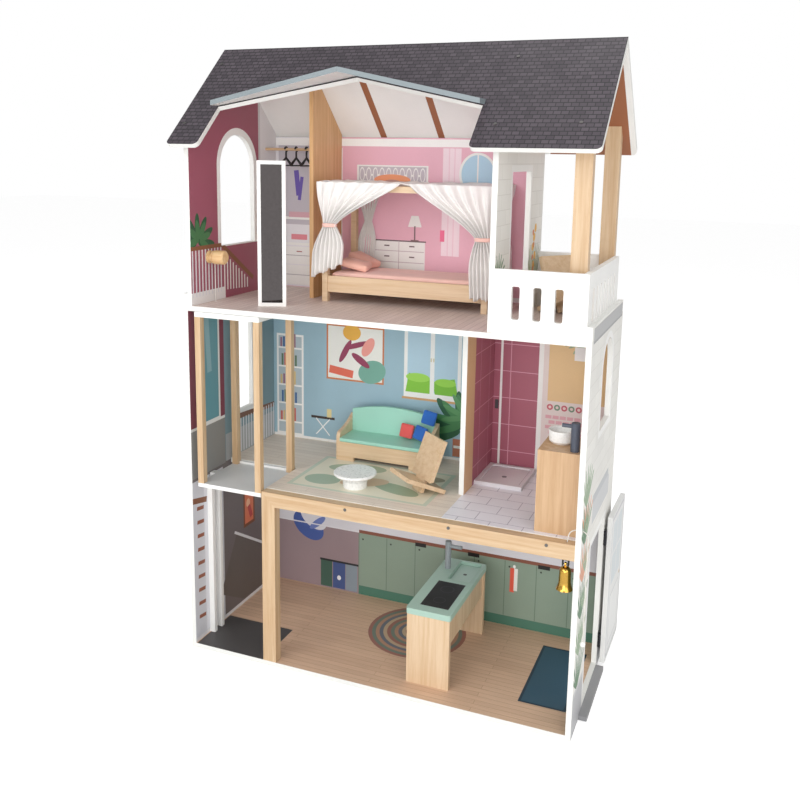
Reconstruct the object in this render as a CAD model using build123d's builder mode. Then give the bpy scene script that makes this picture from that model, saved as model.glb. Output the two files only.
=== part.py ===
from build123d import *
import os
from math import atan2, cos, degrees, hypot, pi, radians, sin, tan

# A three-storey wooden dollhouse with an open front, a hand-wound lift, a side
# door, a doorbell, a roof terrace and loose furniture.
# +Z is up, the open front faces -Y, and the origin is the centre of the underside.

# ---- Driving sizes, in millimetres ----
WIDTH = 800                  # over the two side walls
DEPTH = 340                  # front edge to the back of the back panels
WALL = 10                    # side walls, floors and inner walls
BACK = 6                     # back panels
MID_TOP = 372                # top of the middle floor
UP_TOP = 729                 # top of the upper floor
SIDE_TOP = 753               # top of the two outer side walls
RIDGE_Z = 1232               # roof ridge
EAVE_Z = 1040                # top face of the roof at the eaves
EAVE_RUN = 208               # ridge to eave, measured level
ROOF_T = 9                   # roof panels
ROOF_HALF = 404              # half of the ridge length
TIMBER_W, TIMBER_T = 29, 20  # pine post and beam section
SHAFT_X = -228.5             # right side of the lift shaft
SHAFT_D = 145                # depth of the lift shaft

HALF = WIDTH / 2
IN_X = HALF - WALL           # inner face of the side walls
WALL_D = DEPTH - BACK        # depth of everything in front of the back panels
SLOPE = (RIDGE_Z - EAVE_Z) / EAVE_RUN
ROOF_ANGLE = atan2(RIDGE_Z - EAVE_Z, EAVE_RUN)
ROOF_LEN = hypot(RIDGE_Z - EAVE_Z, EAVE_RUN)
GAP = 0.2                    # paper-thin gap under the roof panels

os.makedirs("parts", exist_ok=True)


def at(d):
    """Y of a point that lies d behind the open front."""
    return d - DEPTH / 2


def roof_under(d):
    """Height of the roof's underside at d behind the open front."""
    return RIDGE_Z - ROOF_T / cos(ROOF_ANGLE) - GAP - abs(at(d)) * SLOPE


def board(x0, x1, d0, d1, z0, z1, mode=Mode.ADD):
    """A square-cut board between two corners, depths measured from the front."""
    with Locations(((x0 + x1) / 2, at((d0 + d1) / 2), (z0 + z1) / 2)):
        Box(x1 - x0, d1 - d0, z1 - z0, mode=mode)


def save(builder, name):
    builder.part.label = name
    export_step(builder.part, f"parts/{name}.step")


# ---- Base, walls and floors ----
with BuildPart() as base_floor:
    board(-IN_X, IN_X, 0, WALL_D, 0, WALL)
save(base_floor, "base_floor")

MID_WINDOW = (176, 238, 470, 690)      # left wall: front, back, sill and crown of the arch
with BuildPart() as left_wall:
    board(-HALF, -IN_X, 0, WALL_D, 0, SIDE_TOP)
    front, rear, sill, crown = MID_WINDOW
    with BuildSketch(Plane.YZ.offset(-HALF)):
        with Locations((at((front + rear) / 2), (sill + crown) / 2)):
            RectangleRounded(rear - front, crown - sill, (rear - front) / 2 - 0.1)
        with Locations((at((front + rear) / 2), sill + (crown - sill) / 4)):
            Rectangle(rear - front, (crown - sill) / 2)
    extrude(amount=WALL, mode=Mode.SUBTRACT)
save(left_wall, "left_wall")

SIDE_WINDOW = (128, 238, 540, 704)     # right wall window: front, back, sill, crown
DOORWAY = (105, 257, 12, 328)          # right wall door opening: front, back, sill, head
CORD_D, CORD_HOLE_Z, CORD_R = 12, 395, 1.0
with BuildPart() as right_wall:
    board(IN_X, HALF, 0, WALL_D, 0, SIDE_TOP)
    front, rear, sill, crown = SIDE_WINDOW
    arch_r = (rear - front) / 2
    with BuildSketch(Plane.YZ.offset(IN_X)):
        with Locations((at((front + rear) / 2), crown - arch_r)):
            Circle(arch_r)
        with Locations((at((front + rear) / 2), (sill + crown - arch_r) / 2)):
            Rectangle(rear - front, crown - arch_r - sill)
        with Locations((at(CORD_D), CORD_HOLE_Z)):
            Circle(2 * CORD_R)
    extrude(amount=WALL, mode=Mode.SUBTRACT)
    front, rear, sill, crown = DOORWAY
    board(IN_X, HALF, front, rear, sill, crown, mode=Mode.SUBTRACT)
save(right_wall, "right_wall")

TERRACE_X = 219                        # left face of the wall beside the terrace
with BuildPart() as back_panel_lower:
    board(-HALF, HALF, WALL_D, DEPTH, 0, UP_TOP)
save(back_panel_lower, "back_panel_lower")

with BuildPart() as back_panel_attic:
    board(-IN_X, TERRACE_X + WALL, WALL_D, DEPTH, UP_TOP, roof_under(DEPTH))
save(back_panel_attic, "back_panel_attic")

BEAM_TOP = MID_TOP - 1
BEAM_BOTTOM = BEAM_TOP - TIMBER_W
BELL_X = 373
with BuildPart() as middle_floor:
    board(SHAFT_X, IN_X, TIMBER_T, WALL_D, MID_TOP - WALL, MID_TOP)
    board(-IN_X, SHAFT_X, SHAFT_D, WALL_D, MID_TOP - WALL, MID_TOP)
save(middle_floor, "middle_floor")

WINCH_D, WINCH_Z = 62, 820             # winder axis
SPOOL_CORE = 9                         # radius on which the lift cord winds
LIFT_CORD_X, LIFT_CORD_D = -372, WINCH_D + SPOOL_CORE
with BuildPart() as upper_floor:
    board(-IN_X, IN_X, 0, WALL_D, UP_TOP - WALL, UP_TOP)
    with BuildSketch(Plane.XY.offset(UP_TOP)):
        with Locations((LIFT_CORD_X, at(LIFT_CORD_D))):
            Circle(3)
    extrude(amount=-WALL, mode=Mode.SUBTRACT)
save(upper_floor, "upper_floor")

with BuildPart() as front_frame:       # pine post and beam, a butt joint at the corner
    board(SHAFT_X, SHAFT_X + TIMBER_W, 0, TIMBER_T, WALL, BEAM_BOTTOM)
    board(SHAFT_X, IN_X, 0, TIMBER_T, BEAM_BOTTOM, BEAM_TOP)
    with BuildSketch(Plane.XY.offset(BEAM_TOP)):
        with Locations((BELL_X, at(CORD_D))):
            Circle(2.5)
    extrude(amount=-TIMBER_W, mode=Mode.SUBTRACT)
save(front_frame, "front_frame")

BATH_X, BATH_D = 132, 143              # left face and front edge of the bathroom wall
with BuildPart() as bath_partition:
    board(BATH_X, BATH_X + WALL, BATH_D, WALL_D, MID_TOP, UP_TOP - WALL)
save(bath_partition, "bath_partition")

TRAY = (BATH_X + WALL, 241, 210, 331)  # shower tray: left, right, front, back
with BuildPart() as shower_tray:
    left, right, front, rear = TRAY
    board(left, right, front, rear, MID_TOP, MID_TOP + 8)
    with BuildSketch(Plane.XY.offset(MID_TOP + 8)):
        with Locations(((left + right) / 2, at((front + rear) / 2))):
            RectangleRounded(right - left - 16, rear - front - 16, 5)
    extrude(amount=-3, taper=20, mode=Mode.SUBTRACT)
save(shower_tray, "shower_tray")

# ---- Attic walls, terrace and roof ----
ATTIC_WINDOW = (108, 238, 838, 1062)   # attic side window: front, back, sill, crown


def gable_wall(x0, thick, d0, d1):
    """Outline of a wall whose top follows both roof slopes, extruded along +X."""
    with BuildSketch(Plane.YZ.offset(x0)) as outline:
        with BuildLine():
            top = [(at(d0), roof_under(d0))]
            if d0 < DEPTH / 2 < d1:
                top.append((0, roof_under(DEPTH / 2)))
            top.append((at(d1), roof_under(d1)))
            Polyline((at(d0), UP_TOP), *top, (at(d1), UP_TOP), close=True)
        make_face()
    extrude(outline.sketch, amount=thick)


with BuildPart() as attic_left_wall:
    gable_wall(-IN_X, WALL, 0, WALL_D)
    front, rear, sill, crown = ATTIC_WINDOW
    arch_r = (rear - front) / 2
    with BuildSketch(Plane.YZ.offset(-IN_X)):
        with Locations((at((front + rear) / 2), crown - arch_r)):
            Circle(arch_r)
        with Locations((at((front + rear) / 2), (sill + crown - arch_r) / 2)):
            Rectangle(rear - front, crown - arch_r - sill)
        with Locations((at(WINCH_D), WINCH_Z)):
            Circle(3.05)
    extrude(amount=WALL, mode=Mode.SUBTRACT)
save(attic_left_wall, "attic_left_wall")

PARTITION_X, PARTITION_D = -226, 200   # pine divider beside the wardrobe
with BuildPart() as attic_partition:
    gable_wall(PARTITION_X, 9, PARTITION_D, WALL_D)
save(attic_partition, "attic_partition")

TERRACE_DOOR = (100, 235, UP_TOP, 1000)
with BuildPart() as terrace_wall:
    gable_wall(TERRACE_X, WALL, 4, WALL_D)
    front, rear, sill, head = TERRACE_DOOR
    board(TERRACE_X, TERRACE_X + WALL, front, rear, sill, head, mode=Mode.SUBTRACT)
save(terrace_wall, "terrace_wall")

RAIL_TOP = 840
SLOT = (14.5, 57, 783.5)               # width, height and centre height of a rail slot
SLOT_PITCH = 37
RAIL_LEFT = TERRACE_X + WALL
RAIL_RIGHT = IN_X - WALL


def rail_slots(count, centre, plane_offset, along_y=False):
    """Rounded slots cut through a rail, in a row about its centre."""
    plane = Plane.YZ.offset(plane_offset) if along_y else Plane.XZ.offset(plane_offset)
    with BuildSketch(plane) as slots:
        with Locations((centre, SLOT[2])):
            with GridLocations(SLOT_PITCH, 1, count, 1):
                RectangleRounded(SLOT[0], SLOT[1], 4)
    extrude(slots.sketch, amount=WALL, mode=Mode.SUBTRACT)


with BuildPart() as rail_front:
    board(RAIL_LEFT, RAIL_RIGHT - GAP, 0, WALL, UP_TOP, RAIL_TOP)
    rail_slots(3, (RAIL_LEFT + RAIL_RIGHT) / 2, -at(WALL))
with BuildPart() as rail_side:
    board(RAIL_RIGHT, IN_X, 0, 315, UP_TOP, RAIL_TOP)
    rail_slots(7, at(157), RAIL_RIGHT, along_y=True)
with BuildPart() as rail_back:
    board(RAIL_LEFT, IN_X - WALL - TIMBER_W, WALL_D - WALL, WALL_D, UP_TOP, RAIL_TOP)
    rail_slots(2, (RAIL_LEFT + IN_X - WALL - TIMBER_W) / 2 + 5, -at(WALL_D))
with BuildPart() as terrace_rails:
    add(rail_front.part)
    add(rail_side.part)
    add(rail_back.part)
save(terrace_rails, "terrace_rails")


def terrace_post(d0):
    """A pine post whose top is cut to the roof's slope."""
    with BuildSketch(Plane.YZ.offset(RAIL_RIGHT - TIMBER_W)) as outline:
        with BuildLine():
            Polyline(
                (at(d0), UP_TOP),
                (at(d0), roof_under(d0)),
                (at(d0 + TIMBER_T), roof_under(d0 + TIMBER_T)),
                (at(d0 + TIMBER_T), UP_TOP),
                close=True,
            )
        make_face()
    extrude(outline.sketch, amount=TIMBER_W)


with BuildPart() as terrace_posts:
    for post_d in (32, WALL_D - TIMBER_T):
        terrace_post(post_d)
save(terrace_posts, "terrace_posts")

# Cut-out of the front roof: half width about its centre, corner and apex heights.
CUT_X, CUT_HALF = -74, 262
CUT_CORNER_Z, CUT_APEX_Z = 1111, 1166


def slope_v(z):
    """Distance down the slope from the ridge to height z, as a negative number."""
    return -(RIDGE_Z - z) / sin(ROOF_ANGLE)


front_slope = Plane(
    origin=(0, 0, RIDGE_Z), x_dir=(1, 0, 0), z_dir=(0, -sin(ROOF_ANGLE), cos(ROOF_ANGLE))
)
back_slope = Plane(
    origin=(0, 0, RIDGE_Z), x_dir=(-1, 0, 0), z_dir=(0, sin(ROOF_ANGLE), cos(ROOF_ANGLE))
)

with BuildPart() as roof_front:
    with BuildSketch(front_slope):
        with Locations((0, -ROOF_LEN / 2)):
            Rectangle(2 * ROOF_HALF, ROOF_LEN)
        with BuildLine():
            Polyline(
                (CUT_X - CUT_HALF, -ROOF_LEN - 1),
                (CUT_X - CUT_HALF, slope_v(CUT_CORNER_Z)),
                (CUT_X, slope_v(CUT_APEX_Z)),
                (CUT_X + CUT_HALF, slope_v(CUT_CORNER_Z)),
                (CUT_X + CUT_HALF, -ROOF_LEN - 1),
                close=True,
            )
        make_face(mode=Mode.SUBTRACT)
    extrude(amount=-ROOF_T)
    fillet(
        roof_front.edges()
        .filter_by(Axis((0, 0, 0), front_slope.z_dir))
        .filter_by(lambda e: e.center().Z < EAVE_Z + 2),
        10,
    )
    split(bisect_by=Plane.XZ, keep=Keep.TOP)
save(roof_front, "roof_front")

with BuildPart() as roof_back:
    with BuildSketch(back_slope):
        with Locations((0, -ROOF_LEN / 2)):
            Rectangle(2 * ROOF_HALF, ROOF_LEN)
    extrude(amount=-ROOF_T)
    fillet(
        roof_back.edges()
        .filter_by(Axis((0, 0, 0), back_slope.z_dir))
        .filter_by(lambda e: e.center().Z < EAVE_Z + 2),
        10,
    )
    split(bisect_by=Plane.XZ, keep=Keep.BOTTOM)
save(roof_back, "roof_back")

# Two boards that meet over the cut-out, running forward from the roof like a small dormer.
GABLE_FRONT = 14                       # front edge of the boards, behind the open front
GABLE_T = 9
GABLE_APEX_Z, GABLE_END_Z = 1178, 1122
GABLE_HALF = 264
with BuildPart() as gable_boards:
    for side in (-1, 1):
        with BuildSketch(Plane.XZ.offset(-at(GABLE_FRONT))) as outline:
            with BuildLine():
                Polyline(
                    (CUT_X + side * 0.15, GABLE_APEX_Z),
                    (CUT_X + side * GABLE_HALF, GABLE_END_Z),
                    (CUT_X + side * GABLE_HALF, GABLE_END_Z - GABLE_T),
                    (CUT_X + side * 0.15, GABLE_APEX_Z - GABLE_T),
                    close=True,
                )
            make_face()
        extrude(outline.sketch, amount=-150)
    split(bisect_by=front_slope.offset(0.1), keep=Keep.TOP)
save(gable_boards, "gable_boards")

# ---- Lift ----
CABIN_X = (-376, -231)                 # left and right of the cabin
CABIN_D = (1, 141)
PLATE_T = 8
CABIN_TOP = UP_TOP - WALL - 1
CABIN_FLOOR = 358                      # underside of the platform, cabin raised
POST = 13
GUIDE_X, GUIDE_W = -378, 9
with BuildPart() as lift_guides:       # two battens that leave a channel for the platform's tab
    for d0 in (52, 79):
        board(-IN_X, GUIDE_X, d0, d0 + GUIDE_W, WALL, CABIN_FLOOR - 2)
save(lift_guides, "lift_guides")

with BuildPart() as elevator_platform:
    board(*CABIN_X, *CABIN_D, CABIN_FLOOR, CABIN_FLOOR + PLATE_T)
    board(-IN_X + 1, CABIN_X[0] + 1, 62, 78, CABIN_FLOOR, CABIN_FLOOR + PLATE_T)
    board(CABIN_X[0] + POST, CABIN_X[1] - POST, 137, 141, CABIN_FLOOR, CABIN_FLOOR + PLATE_T + 5)
save(elevator_platform, "elevator_platform")

with BuildPart() as elevator_top:
    board(*CABIN_X, *CABIN_D, CABIN_TOP - WALL, CABIN_TOP)
save(elevator_top, "elevator_top")

with BuildPart() as elevator_posts:
    for x0 in (CABIN_X[0], CABIN_X[1] - POST):
        for d0 in (CABIN_D[0], CABIN_D[1] - POST):
            board(x0, x0 + POST, d0, d0 + POST, CABIN_FLOOR + PLATE_T, CABIN_TOP - WALL)
save(elevator_posts, "elevator_posts")

KNOB_R, SPOOL_R = 14, 13
with BuildPart() as winder:            # turned knob, spool and the axle in the wall
    with BuildSketch(Plane.XZ.offset(-at(WINCH_D))):
        with BuildLine():
            Polyline(
                (-IN_X - 6, WINCH_Z),
                (-IN_X - 6, WINCH_Z + 3),
                (-IN_X + WALL + 1, WINCH_Z + 3),
                (-IN_X + WALL + 1, WINCH_Z + SPOOL_R),
                (-IN_X + WALL + 3, WINCH_Z + SPOOL_R),
                (LIFT_CORD_X - 2.5, WINCH_Z + SPOOL_CORE - 1),
                (LIFT_CORD_X + 2.5, WINCH_Z + SPOOL_CORE - 1),
                (LIFT_CORD_X + 3.5, WINCH_Z + SPOOL_R),
                (LIFT_CORD_X + 6, WINCH_Z + SPOOL_R),
                (LIFT_CORD_X + 6, WINCH_Z + KNOB_R - 2),
                (LIFT_CORD_X + 8, WINCH_Z + KNOB_R),
                (LIFT_CORD_X + 28, WINCH_Z + KNOB_R),
                (LIFT_CORD_X + 31, WINCH_Z + KNOB_R - 3),
                (LIFT_CORD_X + 31, WINCH_Z),
                close=True,
            )
        make_face()
    revolve(axis=Axis((0, at(WINCH_D), WINCH_Z), (1, 0, 0)))
save(winder, "winder")

with BuildPart() as lift_cord:         # taut cord from the spool to the cabin roof
    with BuildSketch(Plane.XY.offset(CABIN_TOP)):
        with Locations((LIFT_CORD_X, at(LIFT_CORD_D))):
            Circle(0.75)
    extrude(amount=WINCH_Z - CABIN_TOP)
save(lift_cord, "lift_cord")

# ---- Side door, step and hinges ----
HINGE_X, HINGE_D = HALF + 3, 257.5
DOOR_OPEN = 179                        # degrees from shut, as it stands
DOOR_CLEAR = 1.5
HINGE_Z = (48, 268)                    # lower ends of the two hinges
KNUCKLE_R, PIN_R, LEAF_T, HINGE_H = 2.6, 1.0, 0.8, 30
HINGE_CLEAR = 0.05
hinge_axis = Axis((HINGE_X, at(HINGE_D), 0), (0, 0, 1))


def knuckle(z0, height, bore):
    with BuildSketch(Plane.XY.offset(z0)) as ring:
        with Locations((HINGE_X, at(HINGE_D))):
            Circle(KNUCKLE_R)
            Circle(bore, mode=Mode.SUBTRACT)
    extrude(ring.sketch, amount=height)


with BuildPart() as side_door:
    front, rear, sill, head = DOORWAY
    board(IN_X, HALF, front + DOOR_CLEAR, rear - DOOR_CLEAR, sill + 1.5, head - 1.5)
    fillet(side_door.edges().filter_by(Axis.Z), 1)
side_door.part = side_door.part.rotate(hinge_axis, DOOR_OPEN)
save(side_door, "side_door")

with BuildPart() as hinge_wall_leaves:
    for z0 in HINGE_Z:
        board(HALF, HALF + LEAF_T, HINGE_D + 3.5, HINGE_D + 13, z0, z0 + HINGE_H)
        for knuckle_z in (z0, z0 + 20):
            board(HALF, HALF + LEAF_T, HINGE_D, HINGE_D + 3.5, knuckle_z, knuckle_z + 10)
            knuckle(knuckle_z, 10, PIN_R)
        with Locations((HINGE_X, at(HINGE_D), z0 + HINGE_H / 2)):
            Cylinder(PIN_R, HINGE_H + 2)
save(hinge_wall_leaves, "hinge_wall_leaves")

with BuildPart() as hinge_door_leaves:
    for z0 in HINGE_Z:
        board(HALF, HALF + LEAF_T, HINGE_D - 13, HINGE_D - 3.5, z0, z0 + HINGE_H)
        board(HALF, HALF + LEAF_T, HINGE_D - 3.5, HINGE_D, z0 + 10.1, z0 + 19.9)
        knuckle(z0 + 10.1, 9.8, PIN_R + HINGE_CLEAR)
hinge_door_leaves.part = hinge_door_leaves.part.rotate(hinge_axis, DOOR_OPEN)
save(hinge_door_leaves, "hinge_door_leaves")

with BuildPart() as door_step:
    board(HALF, HALF + 16, 70, 256, 0, 9)
    fillet(door_step.edges().filter_by(Axis.Z).group_by(Axis.X)[-1], 2)
save(door_step, "door_step")

# ---- Doorbell ----
BRACKET_H = 8
BELL_PIVOT_Z = BEAM_BOTTOM - BRACKET_H - 4
BELL_R, BELL_H = 15, 42
BELL_TOP = BELL_PIVOT_Z - 5
PIN_CLEAR = 0.05                       # running clearance of every small pin
with BuildPart() as bell_bracket:      # black clip screwed under the beam, with a cross pin
    board(BELL_X - 6, BELL_X + 6, CORD_D - 7, CORD_D + 7, BEAM_BOTTOM - 3, BEAM_BOTTOM)
    for x0 in (BELL_X - 6, BELL_X + 4):
        board(x0, x0 + 2, CORD_D - 4, CORD_D + 4, BELL_PIVOT_Z - 3, BEAM_BOTTOM - 3)
    with BuildSketch(Plane.YZ.offset(BELL_X - 5)) as pin:
        with Locations((at(CORD_D), BELL_PIVOT_Z)):
            Circle(1.2)
    extrude(pin.sketch, amount=10)
save(bell_bracket, "bell_bracket")

with BuildPart() as bell:
    with BuildSketch(Plane.XZ.offset(-at(CORD_D))):
        with BuildLine():
            Line((BELL_X, BELL_TOP), (BELL_X + 3, BELL_TOP))
            ThreePointArc(
                (BELL_X + 3, BELL_TOP), (BELL_X + 8.2, BELL_TOP - 3), (BELL_X + 10.2, BELL_TOP - 10)
            )
            Line((BELL_X + 10.2, BELL_TOP - 10), (BELL_X + 10.6, BELL_TOP - 24))
            ThreePointArc(
                (BELL_X + 10.6, BELL_TOP - 24),
                (BELL_X + 12, BELL_TOP - 35),
                (BELL_X + BELL_R, BELL_TOP - BELL_H),
            )
            Line((BELL_X + BELL_R, BELL_TOP - BELL_H), (BELL_X + BELL_R - 1.6, BELL_TOP - BELL_H))
            ThreePointArc(
                (BELL_X + BELL_R - 1.6, BELL_TOP - BELL_H),
                (BELL_X + 10.6, BELL_TOP - 35),
                (BELL_X + 9.2, BELL_TOP - 24),
            )
            Line((BELL_X + 9.2, BELL_TOP - 24), (BELL_X + 8.8, BELL_TOP - 10))
            ThreePointArc(
                (BELL_X + 8.8, BELL_TOP - 10), (BELL_X + 6.8, BELL_TOP - 4.6), (BELL_X + 3, BELL_TOP - 2.5)
            )
            Line((BELL_X + 3, BELL_TOP - 2.5), (BELL_X, BELL_TOP - 2.5))
            Line((BELL_X, BELL_TOP - 2.5), (BELL_X, BELL_TOP))
        make_face()
    revolve(axis=Axis((BELL_X, at(CORD_D), 0), (0, 0, 1)))
    with BuildSketch(Plane.YZ.offset(BELL_X - 1.5)) as eye:
        with Locations((at(CORD_D), BELL_PIVOT_Z)):
            Circle(3.4)
        with Locations((at(CORD_D), BELL_PIVOT_Z - 4)):
            Rectangle(3, 4)
        with Locations((at(CORD_D), BELL_PIVOT_Z)):
            Circle(1.2 + PIN_CLEAR, mode=Mode.SUBTRACT)
    extrude(eye.sketch, amount=3)
save(bell, "bell")

CLAPPER_R = 3
with BuildPart() as clapper:
    with BuildSketch(Plane.XY.offset(BELL_TOP - BELL_H + CLAPPER_R)) as stem:
        with Locations((BELL_X, at(CORD_D))):
            Circle(0.7)
    extrude(stem.sketch, amount=BELL_H - CLAPPER_R - 2.8)
    with Locations((BELL_X, at(CORD_D), BELL_TOP - BELL_H + CLAPPER_R)):
        Sphere(CLAPPER_R)
save(clapper, "clapper")

# Pull cord: up through the beam, out through the wall and down to the bead.
CORD_POINTS = [
    (373, 12, 342),
    (373, 12, 379),
    (381, 12, 394.2),
    (401, 12, 395.4),
    (409.5, 12.3, 387),
    (409.9, 12.6, 190),
]


def cord_path(points):
    """Straight runs joined by tangent arcs, each as large as its two runs allow."""
    corners = [Vector(x, at(d), z) for x, d, z in points]
    radii = []
    for a, b, c in zip(corners, corners[1:], corners[2:]):
        turn = radians((b - a).get_angle(c - b))
        shorter = min((b - a).length, (c - b).length)
        radii.append(0.45 * shorter / tan(turn / 2))
    print("cord radii", [round(r, 1) for r in radii])
    return FilletPolyline(*corners, radius=radii)


BEAD_R = 5
with BuildPart() as bell_cord:
    with BuildLine():
        route = cord_path(CORD_POINTS)
    with BuildSketch(Plane(route @ 0, z_dir=route % 0)):
        Circle(CORD_R)
    sweep()
save(bell_cord, "bell_cord")
print("cord length", round(route.length, 1))
print("volume ratio", round(bell_cord.part.volume / (route.length * pi * CORD_R**2), 4))

with BuildPart() as cord_bead:         # a ball with a small flat where the cord meets it
    end_x, end_d, end_z = CORD_POINTS[-1]
    with Locations((end_x, at(end_d), end_z - BEAD_R + 0.2)):
        Sphere(BEAD_R)
    split(bisect_by=Plane.XY.offset(end_z), keep=Keep.BOTTOM)
save(cord_bead, "cord_bead")

# ---- Wardrobe rail and hangers ----
RAIL_D, RAIL_Z, RAIL_R = 290, 1035, 3
with BuildPart() as wardrobe_rail:
    with BuildSketch(Plane.YZ.offset(-IN_X + WALL)):
        with Locations((at(RAIL_D), RAIL_Z)):
            Circle(RAIL_R)
    extrude(amount=PARTITION_X + IN_X - WALL)
save(wardrobe_rail, "wardrobe_rail")

HANGER_X = (-330, -305, -280)
HANGER_HALF, HANGER_DROP = 26, 16
for number, hanger_x in enumerate(HANGER_X, start=1):
    with BuildPart() as hanger:        # hook, neck and sloping shoulders in one flat piece
        with BuildSketch(Plane.YZ.offset(hanger_x - 1.5)):
            with Locations((at(RAIL_D), RAIL_Z)):
                Circle(RAIL_R + 3.3)
                Circle(RAIL_R + PIN_CLEAR, mode=Mode.SUBTRACT)
                with Locations((-5, -4)):
                    Rectangle(9.5, 8, mode=Mode.SUBTRACT)
            with Locations((at(RAIL_D), RAIL_Z - 12)):
                Rectangle(3, 13)
            with BuildLine():
                Polyline(
                    (at(RAIL_D), RAIL_Z - 16),
                    (at(RAIL_D) + HANGER_HALF, RAIL_Z - 16 - HANGER_DROP),
                    (at(RAIL_D) + HANGER_HALF, RAIL_Z - 20 - HANGER_DROP),
                    (at(RAIL_D) - HANGER_HALF, RAIL_Z - 20 - HANGER_DROP),
                    (at(RAIL_D) - HANGER_HALF, RAIL_Z - 16 - HANGER_DROP),
                    close=True,
                )
            make_face()
            with BuildLine():
                Polyline(
                    (at(RAIL_D), RAIL_Z - 20),
                    (at(RAIL_D) + HANGER_HALF - 8, RAIL_Z - 17 - HANGER_DROP),
                    (at(RAIL_D) - HANGER_HALF + 8, RAIL_Z - 17 - HANGER_DROP),
                    close=True,
                )
            make_face(mode=Mode.SUBTRACT)
        extrude(amount=3)
    save(hanger, f"hanger_{number}")

# ---- Canopy bed ----
BED_X, BED_D, BED_TOP = (-184, 167), (175, 325), 966
LEG, BED_BOARD = 12, 8
BED_BOARD_Z = (749, 782)
with BuildPart() as bed_frame:
    for x0 in (BED_X[0], BED_X[1] - LEG):
        for d0 in (BED_D[0], BED_D[1] - LEG):
            board(x0, x0 + LEG, d0, d0 + LEG, UP_TOP, BED_TOP - LEG)
    for d0 in (BED_D[0] + 2, BED_D[1] - 2 - BED_BOARD):
        board(BED_X[0] + LEG, BED_X[1] - LEG, d0, d0 + BED_BOARD, *BED_BOARD_Z)
    for x0 in (BED_X[0] + 2, BED_X[1] - 2 - BED_BOARD):
        board(x0, x0 + BED_BOARD, BED_D[0] + LEG, BED_D[1] - LEG, *BED_BOARD_Z)
    board(BED_X[0] + 10, BED_X[1] - 10, BED_D[0] + 10, BED_D[1] - 10, 764, 769)
save(bed_frame, "bed_frame")

with BuildPart() as canopy_rails:
    for d0 in (BED_D[0], BED_D[1] - LEG):
        board(*BED_X, d0, d0 + LEG, BED_TOP - LEG, BED_TOP)
    for x0 in (BED_X[0], BED_X[1] - LEG):
        board(x0, x0 + LEG, BED_D[0] + LEG, BED_D[1] - LEG, BED_TOP - LEG, BED_TOP)
save(canopy_rails, "canopy_rails")

with BuildPart() as mattress:
    board(BED_X[0] + 13, BED_X[1] - 13, BED_D[0] + 13, BED_D[1] - 13, 769.5, 788)
    fillet(mattress.edges().group_by(Axis.Z)[-1], 4)
save(mattress, "mattress")

PILLOW = (60, 48, 14)
with BuildPart() as pillow:
    Box(*PILLOW)
    fillet(pillow.edges(), 4)
with BuildPart() as pillows:
    with Locations(Location((-129, at(222), 802.5), (0, 12, 8))):
        add(pillow.part)
    with Locations(Location((-134, at(276), 807.5), (0, 22, -6))):
        add(pillow.part)
save(pillows, "pillows")

CLOTH_T = 2.5
with BuildPart() as canopy_cloth:
    board(BED_X[0] - 4, BED_X[1] + 4, BED_D[0] - 2, BED_D[1] + 2, BED_TOP + 0.5, BED_TOP + 0.5 + CLOTH_T)
save(canopy_cloth, "canopy_cloth")

CURTAIN_LEFT = [
    (-196, 969), (-14, 969), (-14, 956), (-150, 893), (-147, 880), (-120, 818),
    (-200, 776), (-190, 840), (-172, 884), (-196, 930),
]
CURTAIN_RIGHT = [
    (5, 969), (176, 969), (176, 888), (170, 872), (174, 762), (115, 752),
    (146, 868), (148, 884), (5, 952),
]


def curtain(points, d0, thick):
    with BuildSketch(Plane.XZ.offset(-at(d0))) as outline:
        with BuildLine():
            Polyline(*points, close=True)
        make_face()
    extrude(outline.sketch, amount=-thick)


with BuildPart() as curtains:
    curtain(CURTAIN_LEFT, 160, 12)
    curtain(CURTAIN_RIGHT, 160, 12)
    curtain([(-184, 966), (-120, 966), (-148, 884), (-136, 800), (-178, 800), (-164, 884)], 327.5, 5)
    curtain([(167, 966), (110, 966), (146, 884), (136, 800), (170, 800), (160, 884)], 327.5, 5)
save(curtains, "curtains")

# ---- Sofa and cushions ----
SOFA_X, SOFA_D = (-178, 32), (232, 308)
SOFA_T = 8
SEAT_TOP = MID_TOP + 49
with BuildPart() as sofa_frame:        # two arms with sloping tops, a front board and a rear rail
    for x0 in (SOFA_X[0], SOFA_X[1] - SOFA_T):
        with BuildSketch(Plane.YZ.offset(x0)) as arm:
            with BuildLine():
                Line((at(SOFA_D[0]), MID_TOP), (at(SOFA_D[0]), MID_TOP + 52))
                ThreePointArc(
                    (at(SOFA_D[0]), MID_TOP + 52),
                    (at(SOFA_D[0] + 4), MID_TOP + 60),
                    (at(SOFA_D[0] + 12), MID_TOP + 63),
                )
                Spline(
                    (at(SOFA_D[0] + 12), MID_TOP + 63),
                    (at(SOFA_D[0] + 40), MID_TOP + 69),
                    (at(SOFA_D[1]), MID_TOP + 86),
                )
                Polyline(
                    (at(SOFA_D[1]), MID_TOP + 86),
                    (at(SOFA_D[1]), MID_TOP),
                    (at(SOFA_D[0]), MID_TOP),
                )
            make_face()
        extrude(arm.sketch, amount=SOFA_T)
    board(SOFA_X[0] + SOFA_T, SOFA_X[1] - SOFA_T, SOFA_D[0], SOFA_D[0] + SOFA_T, MID_TOP, SEAT_TOP - 8)
    board(-137, -9, SOFA_D[0], SOFA_D[0] + SOFA_T, MID_TOP, MID_TOP + 9, mode=Mode.SUBTRACT)
    board(SOFA_X[0] + SOFA_T, SOFA_X[1] - SOFA_T, SOFA_D[1] - 20, SOFA_D[1] - 12, MID_TOP, SEAT_TOP - 8)
save(sofa_frame, "sofa_frame")

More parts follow.
